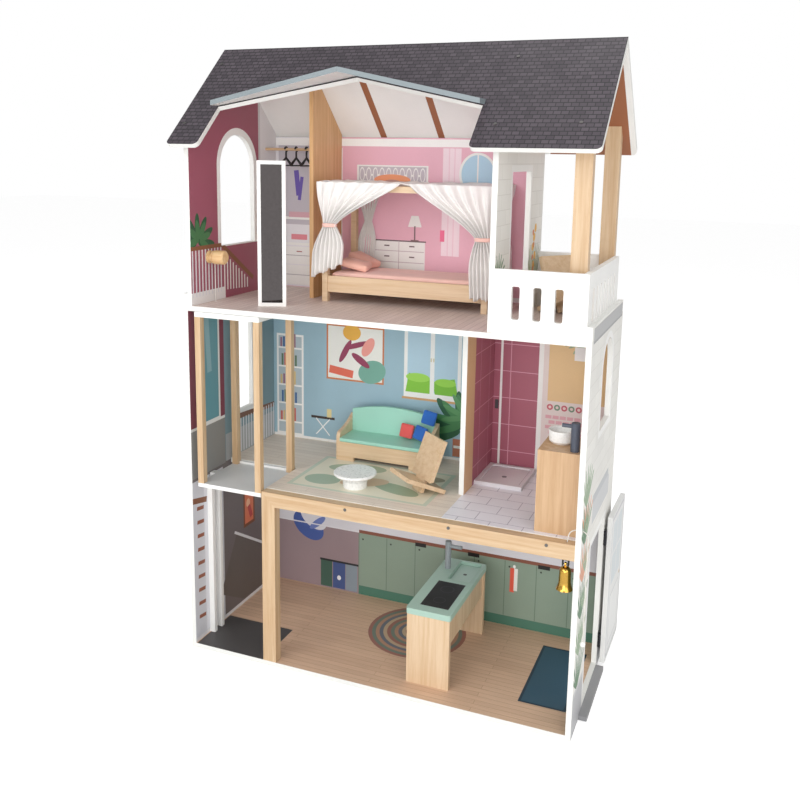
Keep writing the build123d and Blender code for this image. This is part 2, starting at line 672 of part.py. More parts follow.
with BuildPart() as sofa_seat:
    board(SOFA_X[0] + SOFA_T, SOFA_X[1] - SOFA_T, SOFA_D[0], SOFA_D[1] - 10, SEAT_TOP - 8, SEAT_TOP)
    fillet(sofa_seat.edges().filter_by(Axis.X).group_by(Axis.Y)[0], 2)
save(sofa_seat, "sofa_seat")

with BuildPart() as sofa_back:         # arched backrest board
    with BuildSketch(Plane.XZ.offset(-at(SOFA_D[1] - 10))) as arch:
        with BuildLine():
            Line((SOFA_X[0] + SOFA_T, MID_TOP + 20), (SOFA_X[0] + SOFA_T, MID_TOP + 98))
            ThreePointArc(
                (SOFA_X[0] + SOFA_T, MID_TOP + 98),
                ((SOFA_X[0] + SOFA_X[1]) / 2, MID_TOP + 111),
                (SOFA_X[1] - SOFA_T, MID_TOP + 98),
            )
            Line((SOFA_X[1] - SOFA_T, MID_TOP + 98), (SOFA_X[1] - SOFA_T, MID_TOP + 20))
            Line((SOFA_X[1] - SOFA_T, MID_TOP + 20), (SOFA_X[0] + SOFA_T, MID_TOP + 20))
        make_face()
    extrude(arch.sketch, amount=-8)
save(sofa_back, "sofa_back")

CUSHION = (30, 9, 30)
RED_PLACES = [(-34, 284, 19, -14, 6, 0)]   # x, depth, height over the seat, turns about X, Y, Z
BLUE_PLACES = [(0, 276, 20, -16, 14, -12), (17, 283, 54.5, -10, 12, 10)]
with BuildPart() as plain_cushion:
    Box(*CUSHION)
    fillet(plain_cushion.edges(), 3)


def place_cushions(places):
    for x, d, up, *turns in places:
        with Locations(Location((x, at(d), SEAT_TOP + up), tuple(turns))):
            add(plain_cushion.part)


with BuildPart() as cushion_red:
    place_cushions(RED_PLACES)
save(cushion_red, "cushion_red")

with BuildPart() as cushions_blue:
    place_cushions(BLUE_PLACES)
save(cushions_blue, "cushions_blue")

# ---- Round table ----
with BuildPart() as round_table:
    with BuildSketch(Plane.XZ.offset(-at(100))):
        with BuildLine():
            Polyline(
                (-72, MID_TOP), (-48, MID_TOP), (-47, MID_TOP + 14), (-52, MID_TOP + 18),
                (-50, MID_TOP + 25), (-31, MID_TOP + 25), (-29, MID_TOP + 27),
                (-29, MID_TOP + 30), (-30.5, MID_TOP + 31.5), (-72, MID_TOP + 31.5), close=True,
            )
        make_face()
    revolve(axis=Axis((-72, at(100), 0), (0, 0, 1)))
save(round_table, "round_table")

# ---- Lounge chairs: two slotted boards crossed in an X ----
CHAIR_W, CHAIR_T = 76, 8
SEAT_END, BACK_FOOT, BACK_TOP = (86, 37), (44, 0), (4, 108)
TONGUE_W = 34                          # foot of the back board, which passes through the seat


def chair_board(start, end, width, thick):
    """A board that runs from one point to another in the chair's side view."""
    run = hypot(end[0] - start[0], end[1] - start[1])
    tilt = degrees(atan2(end[1] - start[1], end[0] - start[0]))
    with Locations(Location(((start[0] + end[0]) / 2, 0, (start[1] + end[1]) / 2), (0, -tilt, 0))):
        Box(run, width, thick)


seat_lift = CHAIR_T / 2                # half a thickness, so that both boards stand on the floor
with BuildPart() as seat_cut:
    chair_board((BACK_FOOT[0], -20), BACK_TOP, TONGUE_W + 1, CHAIR_T + 1)
with BuildPart() as lounge_seat:
    chair_board((3, seat_lift + 1), (SEAT_END[0], SEAT_END[1] + seat_lift), CHAIR_W, CHAIR_T)
    add(seat_cut.part, mode=Mode.SUBTRACT)
with BuildPart() as lounge_back:
    chair_board((BACK_FOOT[0], 3), BACK_TOP, CHAIR_W, CHAIR_T)
    with Locations((BACK_FOOT[0] - 5, 0, 12)):
        with GridLocations(1, TONGUE_W + CHAIR_W, 1, 2):
            Box(60, CHAIR_W, 34, mode=Mode.SUBTRACT)
    split(bisect_by=Plane.XY, keep=Keep.TOP)

CHAIRS = {"lounge_chair_1": (82, 157, MID_TOP, 229), "lounge_chair_2": (269, 284, UP_TOP, 321)}
for name, (x, d, floor, turn) in CHAIRS.items():
    with BuildPart() as chair:
        with Locations(Location((x, at(d), floor), (0, 0, turn))):
            add(lounge_seat.part)
            add(lounge_back.part)
    save(chair, name)

# ---- Kitchen island ----
ISLAND_X, ISLAND_D, ISLAND_TOP = (64, 155), (43, 285), 167
with BuildPart() as island_frame:      # two end panels and a hanging apron on each long side
    for d0 in (ISLAND_D[0] + 2, ISLAND_D[1] - 12):
        board(ISLAND_X[0] + 2, ISLAND_X[1] - 2, d0, d0 + 10, WALL, ISLAND_TOP - 12)
    for x0 in (ISLAND_X[0] + 6, ISLAND_X[1] - 14):
        board(x0, x0 + 8, ISLAND_D[0] + 12, ISLAND_D[1] - 12, 98, ISLAND_TOP - 12)
save(island_frame, "island_frame")

SINK = (99, 146, 190, 279)
FAUCET_X, FAUCET_D = 83, 237
with BuildPart() as island_worktop:
    board(*ISLAND_X, *ISLAND_D, ISLAND_TOP - 12, ISLAND_TOP)
    fillet(island_worktop.edges().filter_by(Axis.Z), 5)
    left, right, front, rear = SINK
    with BuildSketch(Plane.XY.offset(ISLAND_TOP)):
        with Locations(((left + right) / 2, at((front + rear) / 2))):
            RectangleRounded(right - left, rear - front, 3)
    extrude(amount=-7, mode=Mode.SUBTRACT)
    with BuildSketch(Plane.XY.offset(ISLAND_TOP)):
        with Locations((FAUCET_X, at(FAUCET_D))):
            Circle(4)
    extrude(amount=-8, mode=Mode.SUBTRACT)
save(island_worktop, "island_worktop")

with BuildPart() as island_faucet:     # column with a side spout
    with Locations((FAUCET_X, at(FAUCET_D), ISLAND_TOP + 30)):
        Cylinder(6.5, 60)
    with Locations((FAUCET_X, at(FAUCET_D), ISLAND_TOP - 4)):
        Cylinder(4, 8)
    with BuildSketch(Plane.YZ.offset(FAUCET_X)) as spout:
        with Locations((at(FAUCET_D), ISLAND_TOP + 50)):
            Circle(4)
    extrude(spout.sketch, amount=30)
save(island_faucet, "island_faucet")

# ---- Bathroom vanity ----
VANITY_X, VANITY_D, VANITY_TOP = (310, 388), (32, 130), 523
with BuildPart() as vanity_cabinet:    # two end panels, a shelf and a top slab
    for d0 in (VANITY_D[0], VANITY_D[1] - 10):
        board(*VANITY_X, d0, d0 + 10, MID_TOP, VANITY_TOP - 9)
    board(*VANITY_X, VANITY_D[0] + 10, VANITY_D[1] - 10, MID_TOP + 60, MID_TOP + 68)
    board(*VANITY_X, *VANITY_D, VANITY_TOP - 9, VANITY_TOP)
save(vanity_cabinet, "vanity_cabinet")

BASIN_X, BASIN_D = 340, 88
with BuildPart() as vanity_basin:
    with BuildSketch(Plane.XZ.offset(-at(BASIN_D))):
        with BuildLine():
            Polyline(
                (BASIN_X, VANITY_TOP), (BASIN_X + 17, VANITY_TOP), (BASIN_X + 22, VANITY_TOP + 5),
                (BASIN_X + 24, VANITY_TOP + 25), (BASIN_X + 21.5, VANITY_TOP + 25),
                (BASIN_X + 19.5, VANITY_TOP + 8), (BASIN_X + 15, VANITY_TOP + 4),
                (BASIN_X, VANITY_TOP + 4), close=True,
            )
        make_face()
    revolve(axis=Axis((BASIN_X, at(BASIN_D), 0), (0, 0, 1)))
save(vanity_basin, "vanity_basin")

TAP_X, TAP_D = 372, 48
with BuildPart() as vanity_tap:
    with Locations((TAP_X, at(TAP_D), VANITY_TOP + 26)):
        Cylinder(8, 52)
    fillet(vanity_tap.edges().group_by(Axis.Z)[-1], 2)
    with BuildSketch(Plane.YZ.offset(TAP_X)) as spout:
        with Locations((at(TAP_D), VANITY_TOP + 45)):
            Circle(3.5)
    extrude(spout.sketch, amount=-24)
save(vanity_tap, "vanity_tap")

# ---- Standing mirror ----
MIRROR_W, MIRROR_H, MIRROR_T = 55, 283, 8
MIRROR_AT, MIRROR_TURN = (-242, 73), 23.7
RIM, GLASS_T = 7, 1.5
mirror_place = Location((MIRROR_AT[0], at(MIRROR_AT[1]), UP_TOP), (0, 0, MIRROR_TURN))
with BuildPart() as mirror_frame:      # rebated white frame with a cross foot
    with Locations((0, 0, MIRROR_H / 2)):
        Box(MIRROR_W, MIRROR_T, MIRROR_H)
    with Locations((0, -MIRROR_T / 2 + GLASS_T / 2, MIRROR_H / 2)):
        Box(MIRROR_W - 2 * RIM, GLASS_T, MIRROR_H - 2 * RIM, mode=Mode.SUBTRACT)
    with Locations((0, 16, 4)):
        Box(MIRROR_W - 14, 24, 8)
mirror_frame.part = mirror_place * mirror_frame.part
save(mirror_frame, "mirror_frame")

with BuildPart() as mirror_glass:
    with Locations((0, -MIRROR_T / 2 + GLASS_T / 2 + 0.2, MIRROR_H / 2)):
        Box(MIRROR_W - 2 * RIM - 0.2, GLASS_T - 0.4, MIRROR_H - 2 * RIM - 0.2)
mirror_glass.part = mirror_place * mirror_glass.part
save(mirror_glass, "mirror_glass")

# ---- Screw heads: roof slopes, beam and furniture ends ----
SCREW_R, SCREW_H = 3, 1
ROOF_SCREWS = [(-389, 1200), (-389, 1079), (221, 1200), (221, 1079), (362, 1082)]
with BuildPart() as screws:
    for x, z in ROOF_SCREWS:
        spot = front_slope.offset(0).from_local_coords((x, slope_v(z)))
        with BuildSketch(Plane(spot, x_dir=(1, 0, 0), z_dir=front_slope.z_dir)) as head:
            Circle(SCREW_R)
        extrude(head.sketch, amount=SCREW_H)
    for x in (-47, 160, 340):
        with BuildSketch(Plane.XZ.offset(-at(0))) as head:
            with Locations((x, BEAM_TOP - 8)):
                Circle(SCREW_R)
        extrude(head.sketch, amount=SCREW_H)
save(screws, "screws")
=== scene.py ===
import math

import bpy
from mathutils import Matrix, Vector


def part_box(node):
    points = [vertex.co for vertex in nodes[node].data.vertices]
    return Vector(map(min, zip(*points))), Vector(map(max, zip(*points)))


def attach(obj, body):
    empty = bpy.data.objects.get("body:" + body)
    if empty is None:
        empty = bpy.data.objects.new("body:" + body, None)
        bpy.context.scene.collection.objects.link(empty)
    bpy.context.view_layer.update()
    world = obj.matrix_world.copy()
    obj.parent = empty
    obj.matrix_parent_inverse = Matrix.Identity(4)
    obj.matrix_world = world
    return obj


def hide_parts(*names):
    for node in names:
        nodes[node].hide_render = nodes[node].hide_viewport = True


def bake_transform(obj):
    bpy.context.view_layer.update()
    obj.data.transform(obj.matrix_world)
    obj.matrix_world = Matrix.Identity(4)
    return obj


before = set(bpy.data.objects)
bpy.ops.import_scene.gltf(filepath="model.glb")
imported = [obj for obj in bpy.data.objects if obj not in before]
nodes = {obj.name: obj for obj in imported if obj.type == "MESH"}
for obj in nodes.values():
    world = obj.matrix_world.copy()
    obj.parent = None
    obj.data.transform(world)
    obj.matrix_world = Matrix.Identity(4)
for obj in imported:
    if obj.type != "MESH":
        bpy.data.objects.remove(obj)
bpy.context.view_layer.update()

# ---- Camera ----
# Seen from the front right, a little above the top floor, looking down into the rooms.
eye = Vector((0.645, -1.634, 1.024))
turn, tilt, roll = math.radians(21.81), math.radians(10.29), math.radians(0.95)
right = Vector((math.cos(turn), math.sin(turn), 0))
ahead = Vector((-math.sin(turn) * math.cos(tilt), math.cos(turn) * math.cos(tilt), -math.sin(tilt)))
up = right.cross(ahead)
rolled_right = math.cos(roll) * right + math.sin(roll) * up
rolled_up = -math.sin(roll) * right + math.cos(roll) * up
camera = bpy.data.objects.new("camera", bpy.data.cameras.new("camera"))
bpy.context.scene.collection.objects.link(camera)
camera.matrix_world = Matrix.Translation(eye) @ Matrix(
    (rolled_right, rolled_up, -ahead)).transposed().to_4x4()
camera.data.lens = 40.56
camera.data.shift_y = -0.10
bpy.context.scene.camera = camera

# ---- Bell pull cord ----
# A thin white braided cord. It leaves the bell's clip, passes through the beam and the
# side wall, and hangs down outside with a wooden bead on its end.
CORD_POINTS = [
    (0.373, -0.158, 0.342),
    (0.373, -0.158, 0.379),
    (0.381, -0.158, 0.3942),
    (0.401, -0.158, 0.3954),
    (0.4095, -0.1577, 0.387),
    (0.4096, -0.1576, 0.376),
    (0.4099, -0.1574, 0.190),
]
CORD_DIAMETER = 0.002
curve = bpy.data.curves.new("pull_cord", "CURVE")
curve.dimensions = "3D"
spline = curve.splines.new("NURBS")
spline.points.add(len(CORD_POINTS) - 1)
for point, place in zip(spline.points, CORD_POINTS):
    point.co = (*place, 1)
    point.radius = CORD_DIAMETER / 2   # times a bevel of one, so that its box is true too
spline.order_u = 3
spline.use_endpoint_u = True
spline.resolution_u = 12
curve.bevel_depth = 1.0
curve.bevel_resolution = 3
curve.use_fill_caps = True
pull_cord = bpy.data.objects.new("pull_cord", curve)
bpy.context.scene.collection.objects.link(pull_cord)
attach(pull_cord, "house")
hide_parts("bell_cord")

# ---- Studio ----
# A plain pale floor and wide soft lights, one from each side of the open front.
bpy.ops.object.select_all(action="DESELECT")
bpy.ops.mesh.primitive_plane_add(size=30, location=(0, 0, -0.0005))
studio_floor = bpy.context.object
studio_floor.name = "studio_floor"
paper = bpy.data.materials.new("studio_paper")
paper.use_nodes = True
sheet = paper.node_tree.nodes["Principled BSDF"]
sheet.inputs["Base Color"].default_value = (0.95, 0.95, 0.95, 1)
sheet.inputs["Roughness"].default_value = 0.9
sheet.inputs["Emission Color"].default_value = (1.0, 1.0, 1.0, 1)
seen_directly = paper.node_tree.nodes.new("ShaderNodeLightPath")
lift_tone = paper.node_tree.nodes.new("ShaderNodeMapRange")
lift_tone.inputs["To Min"].default_value = 0.0
lift_tone.inputs["To Max"].default_value = 0.45    # a paper floor that fades into the backdrop
paper.node_tree.links.new(seen_directly.outputs["Is Camera Ray"], lift_tone.inputs["Value"])
paper.node_tree.links.new(lift_tone.outputs["Result"], sheet.inputs["Emission Strength"])
studio_floor.data.materials.append(paper)
for name, place, size, power in (
    ("key", (-1.2, -3.2, 2.6), 2.4, 46),
    ("fill", (2.6, -2.6, 1.6), 2.4, 32),
    ("low_front", (0.5, -3.8, 0.7), 2.4, 58),
    ("top", (0.6, 1.2, 3.4), 2.6, 30),
):
    lamp = bpy.data.objects.new(name, bpy.data.lights.new(name, "AREA"))
    lamp.data.size = size
    lamp.data.energy = power
    lamp.location = place
    lamp.rotation_euler = (Vector((0, 0, 0.6)) - lamp.location).to_track_quat("-Z", "Y").to_euler()
    bpy.context.scene.collection.objects.link(lamp)
world = bpy.data.worlds.new("studio")
world.use_nodes = True
sky = world.node_tree.nodes["Background"]
sky.inputs["Color"].default_value = (1.0, 1.0, 1.0, 1)
path = world.node_tree.nodes.new("ShaderNodeLightPath")
glow = world.node_tree.nodes.new("ShaderNodeMapRange")
glow.inputs["To Min"].default_value = 0.56         # light on the house
glow.inputs["To Max"].default_value = 1.0          # the backdrop as it is seen
world.node_tree.links.new(path.outputs["Is Camera Ray"], glow.inputs["Value"])
world.node_tree.links.new(glow.outputs["Result"], sky.inputs["Strength"])
bpy.context.scene.world = world
bpy.context.scene.view_settings.view_transform = "Standard"

# ---- Printed boards: base and floors ----
# Fibreboard panels with their artwork printed on the faces, and painted edges. A board's
# print is a pile of flat ink shapes over a base tone, in millimetres across the panel.
FRONT = -170                           # the open front, from which depths are counted


def ink(red, green, blue):
    """An ink colour, given in 0 to 255 steps."""
    linear = [((c / 255 + 0.055) / 1.055) ** 2.4 if c > 10 else c / 3300 for c in (red, green, blue)]
    return (*linear, 1)


def feed(tree, item, inputs):
    """Gives a node's inputs, as values or as other nodes' sockets."""
    for place, value in inputs.items():
        if isinstance(value, bpy.types.NodeSocket):
            tree.links.new(value, item.inputs[place])
        else:
            item.inputs[place].default_value = value
    return item


def wire(tree, kind, inputs, **settings):
    """A new node with its settings and its inputs."""
    item = tree.nodes.new("ShaderNode" + kind)
    for name, value in settings.items():
        setattr(item, name, value)
    return feed(tree, item, inputs)


def new_finish(name):
    """A new material: itself, its tree, its shader and the object's coordinates."""
    material = bpy.data.materials.new(name)
    material.use_nodes = True
    tree = material.node_tree
    return material, tree, tree.nodes["Principled BSDF"], wire(tree, "TexCoord", {})


def blend_ink(tree, mask, under, over):
    return wire(tree, "Mix", {0: mask, 6: under, 7: over}, data_type="RGBA").outputs[2]


def new_group(name, takes, gives):
    """An empty node group with its named inputs and outputs."""
    group = bpy.data.node_groups.new(name, "ShaderNodeTree")
    for label, kind, default in takes:
        socket = group.interface.new_socket(label, in_out="INPUT", socket_type="NodeSocket" + kind)
        if default is not None:
            socket.default_value = default
    for label, kind in gives:
        group.interface.new_socket(label, in_out="OUTPUT", socket_type="NodeSocket" + kind)
    start, end = group.nodes.new("NodeGroupInput"), group.nodes.new("NodeGroupOutput")
    return group, start.outputs, end.inputs


# One flat ink shape: a rectangle at Round 0, an ellipse at Round 1.
ink_shape, taken, given = new_group(
    "ink_shape",
    [("Vector", "Vector", None), ("Centre", "Vector", None), ("Half", "Vector", (1, 1, 1)),
     ("Turn", "Float", 0.0), ("Round", "Float", 0.0)],
    [("Mask", "Float")],
)
moved = wire(ink_shape, "VectorMath", {0: taken["Vector"], 1: taken["Centre"]}, operation="SUBTRACT")
turned = wire(ink_shape, "VectorRotate", {"Vector": moved.outputs[0], "Angle": taken["Turn"]},
              rotation_type="Z_AXIS")
scaled = wire(ink_shape, "VectorMath", {0: turned.outputs[0], 1: taken["Half"]}, operation="DIVIDE")
folded = wire(ink_shape, "VectorMath", {0: scaled.outputs[0]}, operation="ABSOLUTE")
parts = wire(ink_shape, "SeparateXYZ", {0: folded.outputs[0]})
square = wire(ink_shape, "Math", {0: parts.outputs[0], 1: parts.outputs[1]}, operation="MAXIMUM")
ring = wire(ink_shape, "VectorMath", {0: folded.outputs[0]}, operation="LENGTH")
reach = wire(ink_shape, "Mix", {0: taken["Round"], 2: square.outputs[0], 3: ring.outputs["Value"]})
inside = wire(ink_shape, "Math", {0: reach.outputs[0], 1: 1.0}, operation="LESS_THAN")
ink_shape.links.new(inside.outputs[0], given["Mask"])

# Fine tone and height of a printed fibreboard face.
board_skin, taken, given = new_group(
    "board_skin", [("Vector", "Vector", None), ("Colour", "Color", None)],
    [("Colour", "Color"), ("Roughness", "Float"), ("Height", "Float")],
)
fibre = wire(board_skin, "TexNoise", {"Vector": taken["Vector"], "Scale": 900.0, "Detail": 3.0})
cloudy = wire(board_skin, "TexNoise", {"Vector": taken["Vector"], "Scale": 9.0, "Detail": 4.0})
tone = wire(board_skin, "MapRange", {0: cloudy.outputs[0], 1: 0.3, 2: 0.7, 3: 0.96, 4: 1.03})
speck = wire(board_skin, "MapRange", {0: fibre.outputs[0], 1: 0.3, 2: 0.7, 3: 0.975, 4: 1.02})
both = wire(board_skin, "Math", {0: tone.outputs[0], 1: speck.outputs[0]}, operation="MULTIPLY")
toned = wire(board_skin, "VectorMath", {0: taken["Colour"], 3: both.outputs[0]}, operation="SCALE")
gloss = wire(board_skin, "MapRange", {0: cloudy.outputs[0], 1: 0.3, 2: 0.7, 3: 0.38, 4: 0.52})
board_skin.links.new(toned.outputs[0], given["Colour"])
board_skin.links.new(gloss.outputs[0], given["Roughness"])
board_skin.links.new(fibre.outputs[0], given["Height"])

SIDES = {"+X": (1, 0, 0), "-X": (-1, 0, 0), "+Y": (0, 1, 0), "-Y": (0, -1, 0), "+Z": (0, 0, 1),
         "-Z": (0, 0, -1)}


def group_node(tree, group, inputs):
    item = tree.nodes.new("ShaderNodeGroup")
    item.node_tree = group
    return feed(tree, item, inputs)


def panel_plane(tree, position, side):
    """Position over one face of a panel, in millimetres: along it, up or back, and nought."""
    axes = wire(tree, "SeparateXYZ", {0: position}).outputs
    along, rise = {"X": (1, 2), "Y": (0, 2), "Z": (0, 1)}[side[1]]
    flat = wire(tree, "CombineXYZ", {0: axes[along], 1: axes[rise]})
    wide = wire(tree, "VectorMath", {0: flat.outputs[0], 3: 1000.0}, operation="SCALE")
    shift = {"X": (FRONT, 0, 0), "Y": (0, 0, 0), "Z": (0, FRONT, 0)}[side[1]]
    return wire(tree, "VectorMath", {0: wide.outputs[0], 1: shift}, operation="SUBTRACT").outputs[0]


def coat_board(tree, surface, place, colour, bump):
    """The fine fibreboard finish over a colour."""
    skin = group_node(tree, board_skin, {"Vector": place.outputs["Object"], "Colour": colour})
    relief = wire(tree, "Bump", {"Strength": bump, "Distance": 0.0002, "Height": skin.outputs["Height"]})
    feed(tree, surface, {"Base Color": skin.outputs["Colour"], "Roughness": skin.outputs["Roughness"],
                         "Normal": relief.outputs[0]})


def printed_board(name, edge, faces, bump=0.05):
    """A board with a painted edge and a print on the named faces, given as (base, shapes)."""
    material, tree, surface, place = new_finish(name)
    colour = edge
    for side, (base, shapes) in faces.items():
        plane = panel_plane(tree, place.outputs["Object"], side)
        picture = base(tree, plane) if callable(base) else base
        for tint, x, z, half_x, half_z, *more in shapes:
            angle, rounded = (more + [0, 0])[:2]
            mask = group_node(tree, ink_shape, {
                "Vector": plane, "Centre": (x, z, 0), "Half": (half_x, half_z, 1),
                "Turn": -math.radians(angle), "Round": rounded}).outputs[0]
            picture = blend_ink(tree, mask, picture, tint)
        facing = wire(tree, "VectorMath", {0: place.outputs["Normal"], 1: SIDES[side]},
                      operation="DOT_PRODUCT")
        seen = wire(tree, "Math", {0: facing.outputs["Value"], 1: 0.6}, operation="GREATER_THAN")
        colour = blend_ink(tree, seen.outputs[0], colour, picture)
    coat_board(tree, surface, place, colour, bump)
    return material


def dress(node_name, material):
    """Gives a board or fitting its finish."""
    nodes[node_name].data.materials.clear()
    nodes[node_name].data.materials.append(material)


def planks(light, dark, joint, length, width, lengthwise=True):
    """Base tone of a plank print, running across the house or from front to back."""
    def paint(tree, plane):
        turned_plane = wire(tree, "Mapping", {"Vector": plane})
        if not lengthwise:
            turned_plane.inputs["Rotation"].default_value = (0, 0, math.radians(90))
        rows = wire(tree, "TexBrick", {
            "Vector": turned_plane.outputs[0], "Color1": light, "Color2": dark, "Mortar": joint,
            "Scale": 1.0, "Mortar Size": 0.45, "Mortar Smooth": 0.3, "Bias": -0.2,
            "Brick Width": length, "Row Height": width})
        stretched = wire(tree, "Mapping", {"Vector": turned_plane.outputs[0], "Scale": (0.012, 0.9, 1)})
        streaks = wire(tree, "TexNoise", {"Vector": stretched.outputs[0], "Scale": 1.0, "Detail": 6.0,
                                          "Roughness": 0.7})
        amount = wire(tree, "MapRange", {0: streaks.outputs[0], 1: 0.45, 2: 0.68, 3: 0.0, 4: 0.55})
        return blend_ink(tree, amount.outputs[0], rows.outputs[0], joint)
    return paint


WHITE = ink(240, 239, 236)
EDGE_WHITE = ink(232, 232, 228)
BEDROOM_PINK = ink(233, 180, 196)


def round_rug(x, depth, radius):
    """Rings of a braided rug, from the outside in."""
    tints = [ink(160, 108, 98), ink(118, 130, 118), ink(184, 142, 118), ink(108, 112, 124),
             ink(196, 170, 140)]
    count = 13
    return [(tints[n % len(tints)], x, depth, radius * (1 - n / count), radius * (1 - n / count), 0, 1)
            for n in range(count)]


ground_shapes = round_rug(20, 228, 106)
ground_shapes += [
    (ink(78, 76, 76), -309, 63, 79, 64),
    (ink(34, 56, 72), 331, 176, 46, 108),
    (ink(52, 86, 106), 331, 176, 41, 103),
]
dress("base_floor", printed_board("base_board", EDGE_WHITE, {
    "+Z": (planks(ink(224, 190, 162), ink(212, 177, 149), ink(178, 140, 112), 420, 13), ground_shapes)}))

middle_shapes = [(ink(206, 214, 196), -55, 150, 150, 92), (ink(234, 229, 209), -55, 150, 141, 84),
                 (ink(172, 188, 164), -110, 196, 62, 26, 12, 1), (ink(160, 180, 156), 8, 118, 56, 22, -18, 1),
                 (ink(222, 196, 168), -64, 128, 50, 24, 25, 1), (ink(172, 190, 170), -150, 110, 38, 28, 0, 1),
                 (ink(176, 168, 146), 40, 196, 44, 18, 8, 1)]
middle_shapes += [(ink(238, 236, 243), 265, 170, 126, 170)]
TILE_LINE = ink(176, 172, 186)
for n in range(1, 9):
    middle_shapes.append((TILE_LINE, 265, 38 * n, 125, 0.7))
for n in range(9):
    for x in (166, 228, 290, 352):
        middle_shapes.append((TILE_LINE, x + 31 * (n % 2), 38 * n + 19, 0.7, 19))
dress("middle_floor", printed_board("middle_floor_board", EDGE_WHITE, {
    "+Z": (planks(ink(240, 227, 213), ink(230, 216, 202), ink(202, 184, 171), 300, 17), middle_shapes)}))
dress("upper_floor", printed_board("upper_floor_board", EDGE_WHITE, {
    "+Z": (planks(ink(228, 212, 204), ink(214, 197, 189), ink(172, 152, 146), 260, 14, False), [])}))

# ---- Outer side walls ----
# Two tall boards, printed inside with the stair hall, the shower and the kitchen end, and
# outside with pale stonework. The right one has a window and the side doorway cut in it.
WOOD_RED = ink(150, 86, 62)
STAIR_WHITE = ink(226, 226, 230)


def balusters(first, last, low, high, step=11):
    """A row of white spindles between two depths."""
    count = int((last - first) / step)
    return [(STAIR_WHITE, first + step * n, (low + high) / 2, 2, (high - low) / 2) for n in range(count + 1)]


left_inside = [
    (ink(116, 108, 108), 167, 186, 170, 176),
    (ink(214, 214, 220), 56, 186, 56, 176),
]
for n in range(9):                     # treads and risers of the printed stair
    left_inside.append((WOOD_RED, 26, 60 + 30 * n, 12, 4, -8))
    left_inside.append((WOOD_RED, 94 - 3 * (n % 2), 30 + 30 * n, 10, 6, 30))
left_inside += [
    (ink(226, 226, 232), 45, 190, 5, 170), (ink(134, 84, 56), 20, 318, 30, 6, -12),
    (ink(106, 98, 94), 225, 78, 110, 68, -30), (ink(224, 224, 226), 226, 152, 84, 3, -31),
    (ink(126, 78, 44), 216, 232, 24, 42), (ink(226, 124, 86), 216, 232, 18, 35),
    (ink(244, 190, 150), 212, 244, 8, 10, 0, 1), (ink(196, 74, 66), 220, 222, 6, 16, 20),
    (ink(228, 226, 228), 167, 14, 167, 4),
    (ink(124, 150, 158), 170, 546, 170, 174), (ink(128, 60, 76), 62, 546, 62, 174),
    (ink(228, 228, 226), 72, 592, 36, 120), (ink(98, 152, 164), 72, 592, 30, 114),
    (ink(140, 178, 186), 66, 640, 8, 60, 4), (ink(140, 140, 138), 62, 420, 62, 52),
    (ink(228, 228, 226), 62, 472, 62, 3), (ink(234, 234, 232), 207, 575, 40, 122),
    (ink(234, 234, 232), 207, 690, 40, 16, 0, 1), (ink(176, 178, 180), 230, 400, 104, 30),
    (ink(122, 82, 62), 250, 452, 84, 6, -4),
]
left_inside += balusters(176, 330, 374, 450)


def stonework(tree, plane):
    """Faint courses of pale stone."""
    courses = wire(tree, "TexBrick", {
        "Vector": plane, "Color1": ink(238, 236, 230), "Color2": ink(230, 228, 222),
        "Mortar": ink(218, 215, 208), "Scale": 1.0, "Mortar Size": 0.8, "Mortar Smooth": 0.6,
        "Brick Width": 62.0, "Row Height": 26.0})
    return courses.outputs[0]


def leaves(tint, x, z, length, width, count, spread, lean=90):
    """A fan of printed leaves that starts from one point."""
    fan = []
    for n in range(count):
        angle = lean + spread * (n / max(count - 1, 1) - 0.5)
        reach_x = math.cos(math.radians(angle)) * length * 0.55
        reach_z = math.sin(math.radians(angle)) * length * 0.55
        fan.append((tint, x + reach_x, z + reach_z, length / 2, width / 2, angle, 1))
    return fan


GREEN, SAGE, PEACH = ink(92, 130, 96), ink(150, 172, 140), ink(226, 158, 124)
FRAME_WHITE = ink(246, 245, 242)
outside_garden = [(ink(188, 188, 190), 167, 40, 167, 40), (ink(206, 206, 206), 167, 84, 167, 5)]
outside_garden += leaves(GREEN, 34, 84, 78, 8, 7, 96) + leaves(PEACH, 48, 372, 70, 8, 6, 90)
dress("left_wall", printed_board("left_wall_board", EDGE_WHITE, {
    "+X": (ink(116, 108, 108), left_inside),
    "-X": (stonework, outside_garden)}))

climbers = []
for height, tint in ((150, SAGE), (220, GREEN), (290, PEACH), (360, GREEN), (430, SAGE)):
    climbers += leaves(tint, 34, height, 74, 8, 7, 96) + leaves(SAGE, 52, height + 12, 50, 6, 5, 80)
right_outside = outside_garden + climbers + [
    (ink(206, 207, 208), 190, 392, 90, 20), (ink(192, 194, 196), 183, 420, 84, 8),
    (FRAME_WHITE, 183, 590, 66, 62), (FRAME_WHITE, 183, 650, 66, 66, 0, 1),
    (FRAME_WHITE, 181, 171, 86, 170), (ink(184, 184, 184), 172, 736, 157, 13),
    (ink(160, 160, 162), 172, 724, 157, 2),
]
right_inside = [
    (ink(140, 158, 142), 167, 186, 170, 176), (ink(80, 118, 100), 167, 22, 170, 12),
    (ink(120, 138, 122), 60, 186, 1, 150), (ink(232, 231, 228), 181, 171, 84, 168),
    (ink(222, 208, 204), 167, 546, 170, 174), (ink(236, 234, 232), 183, 590, 64, 60),
    (ink(236, 234, 232), 183, 650, 64, 64, 0, 1), (ink(200, 176, 172), 167, 470, 170, 2),
    (ink(236, 234, 232), 167, 376, 170, 4),
]
dress("right_wall", printed_board("right_wall_board", EDGE_WHITE, {
    "-X": (ink(222, 208, 204), right_inside),
    "+X": (stonework, right_outside)}))

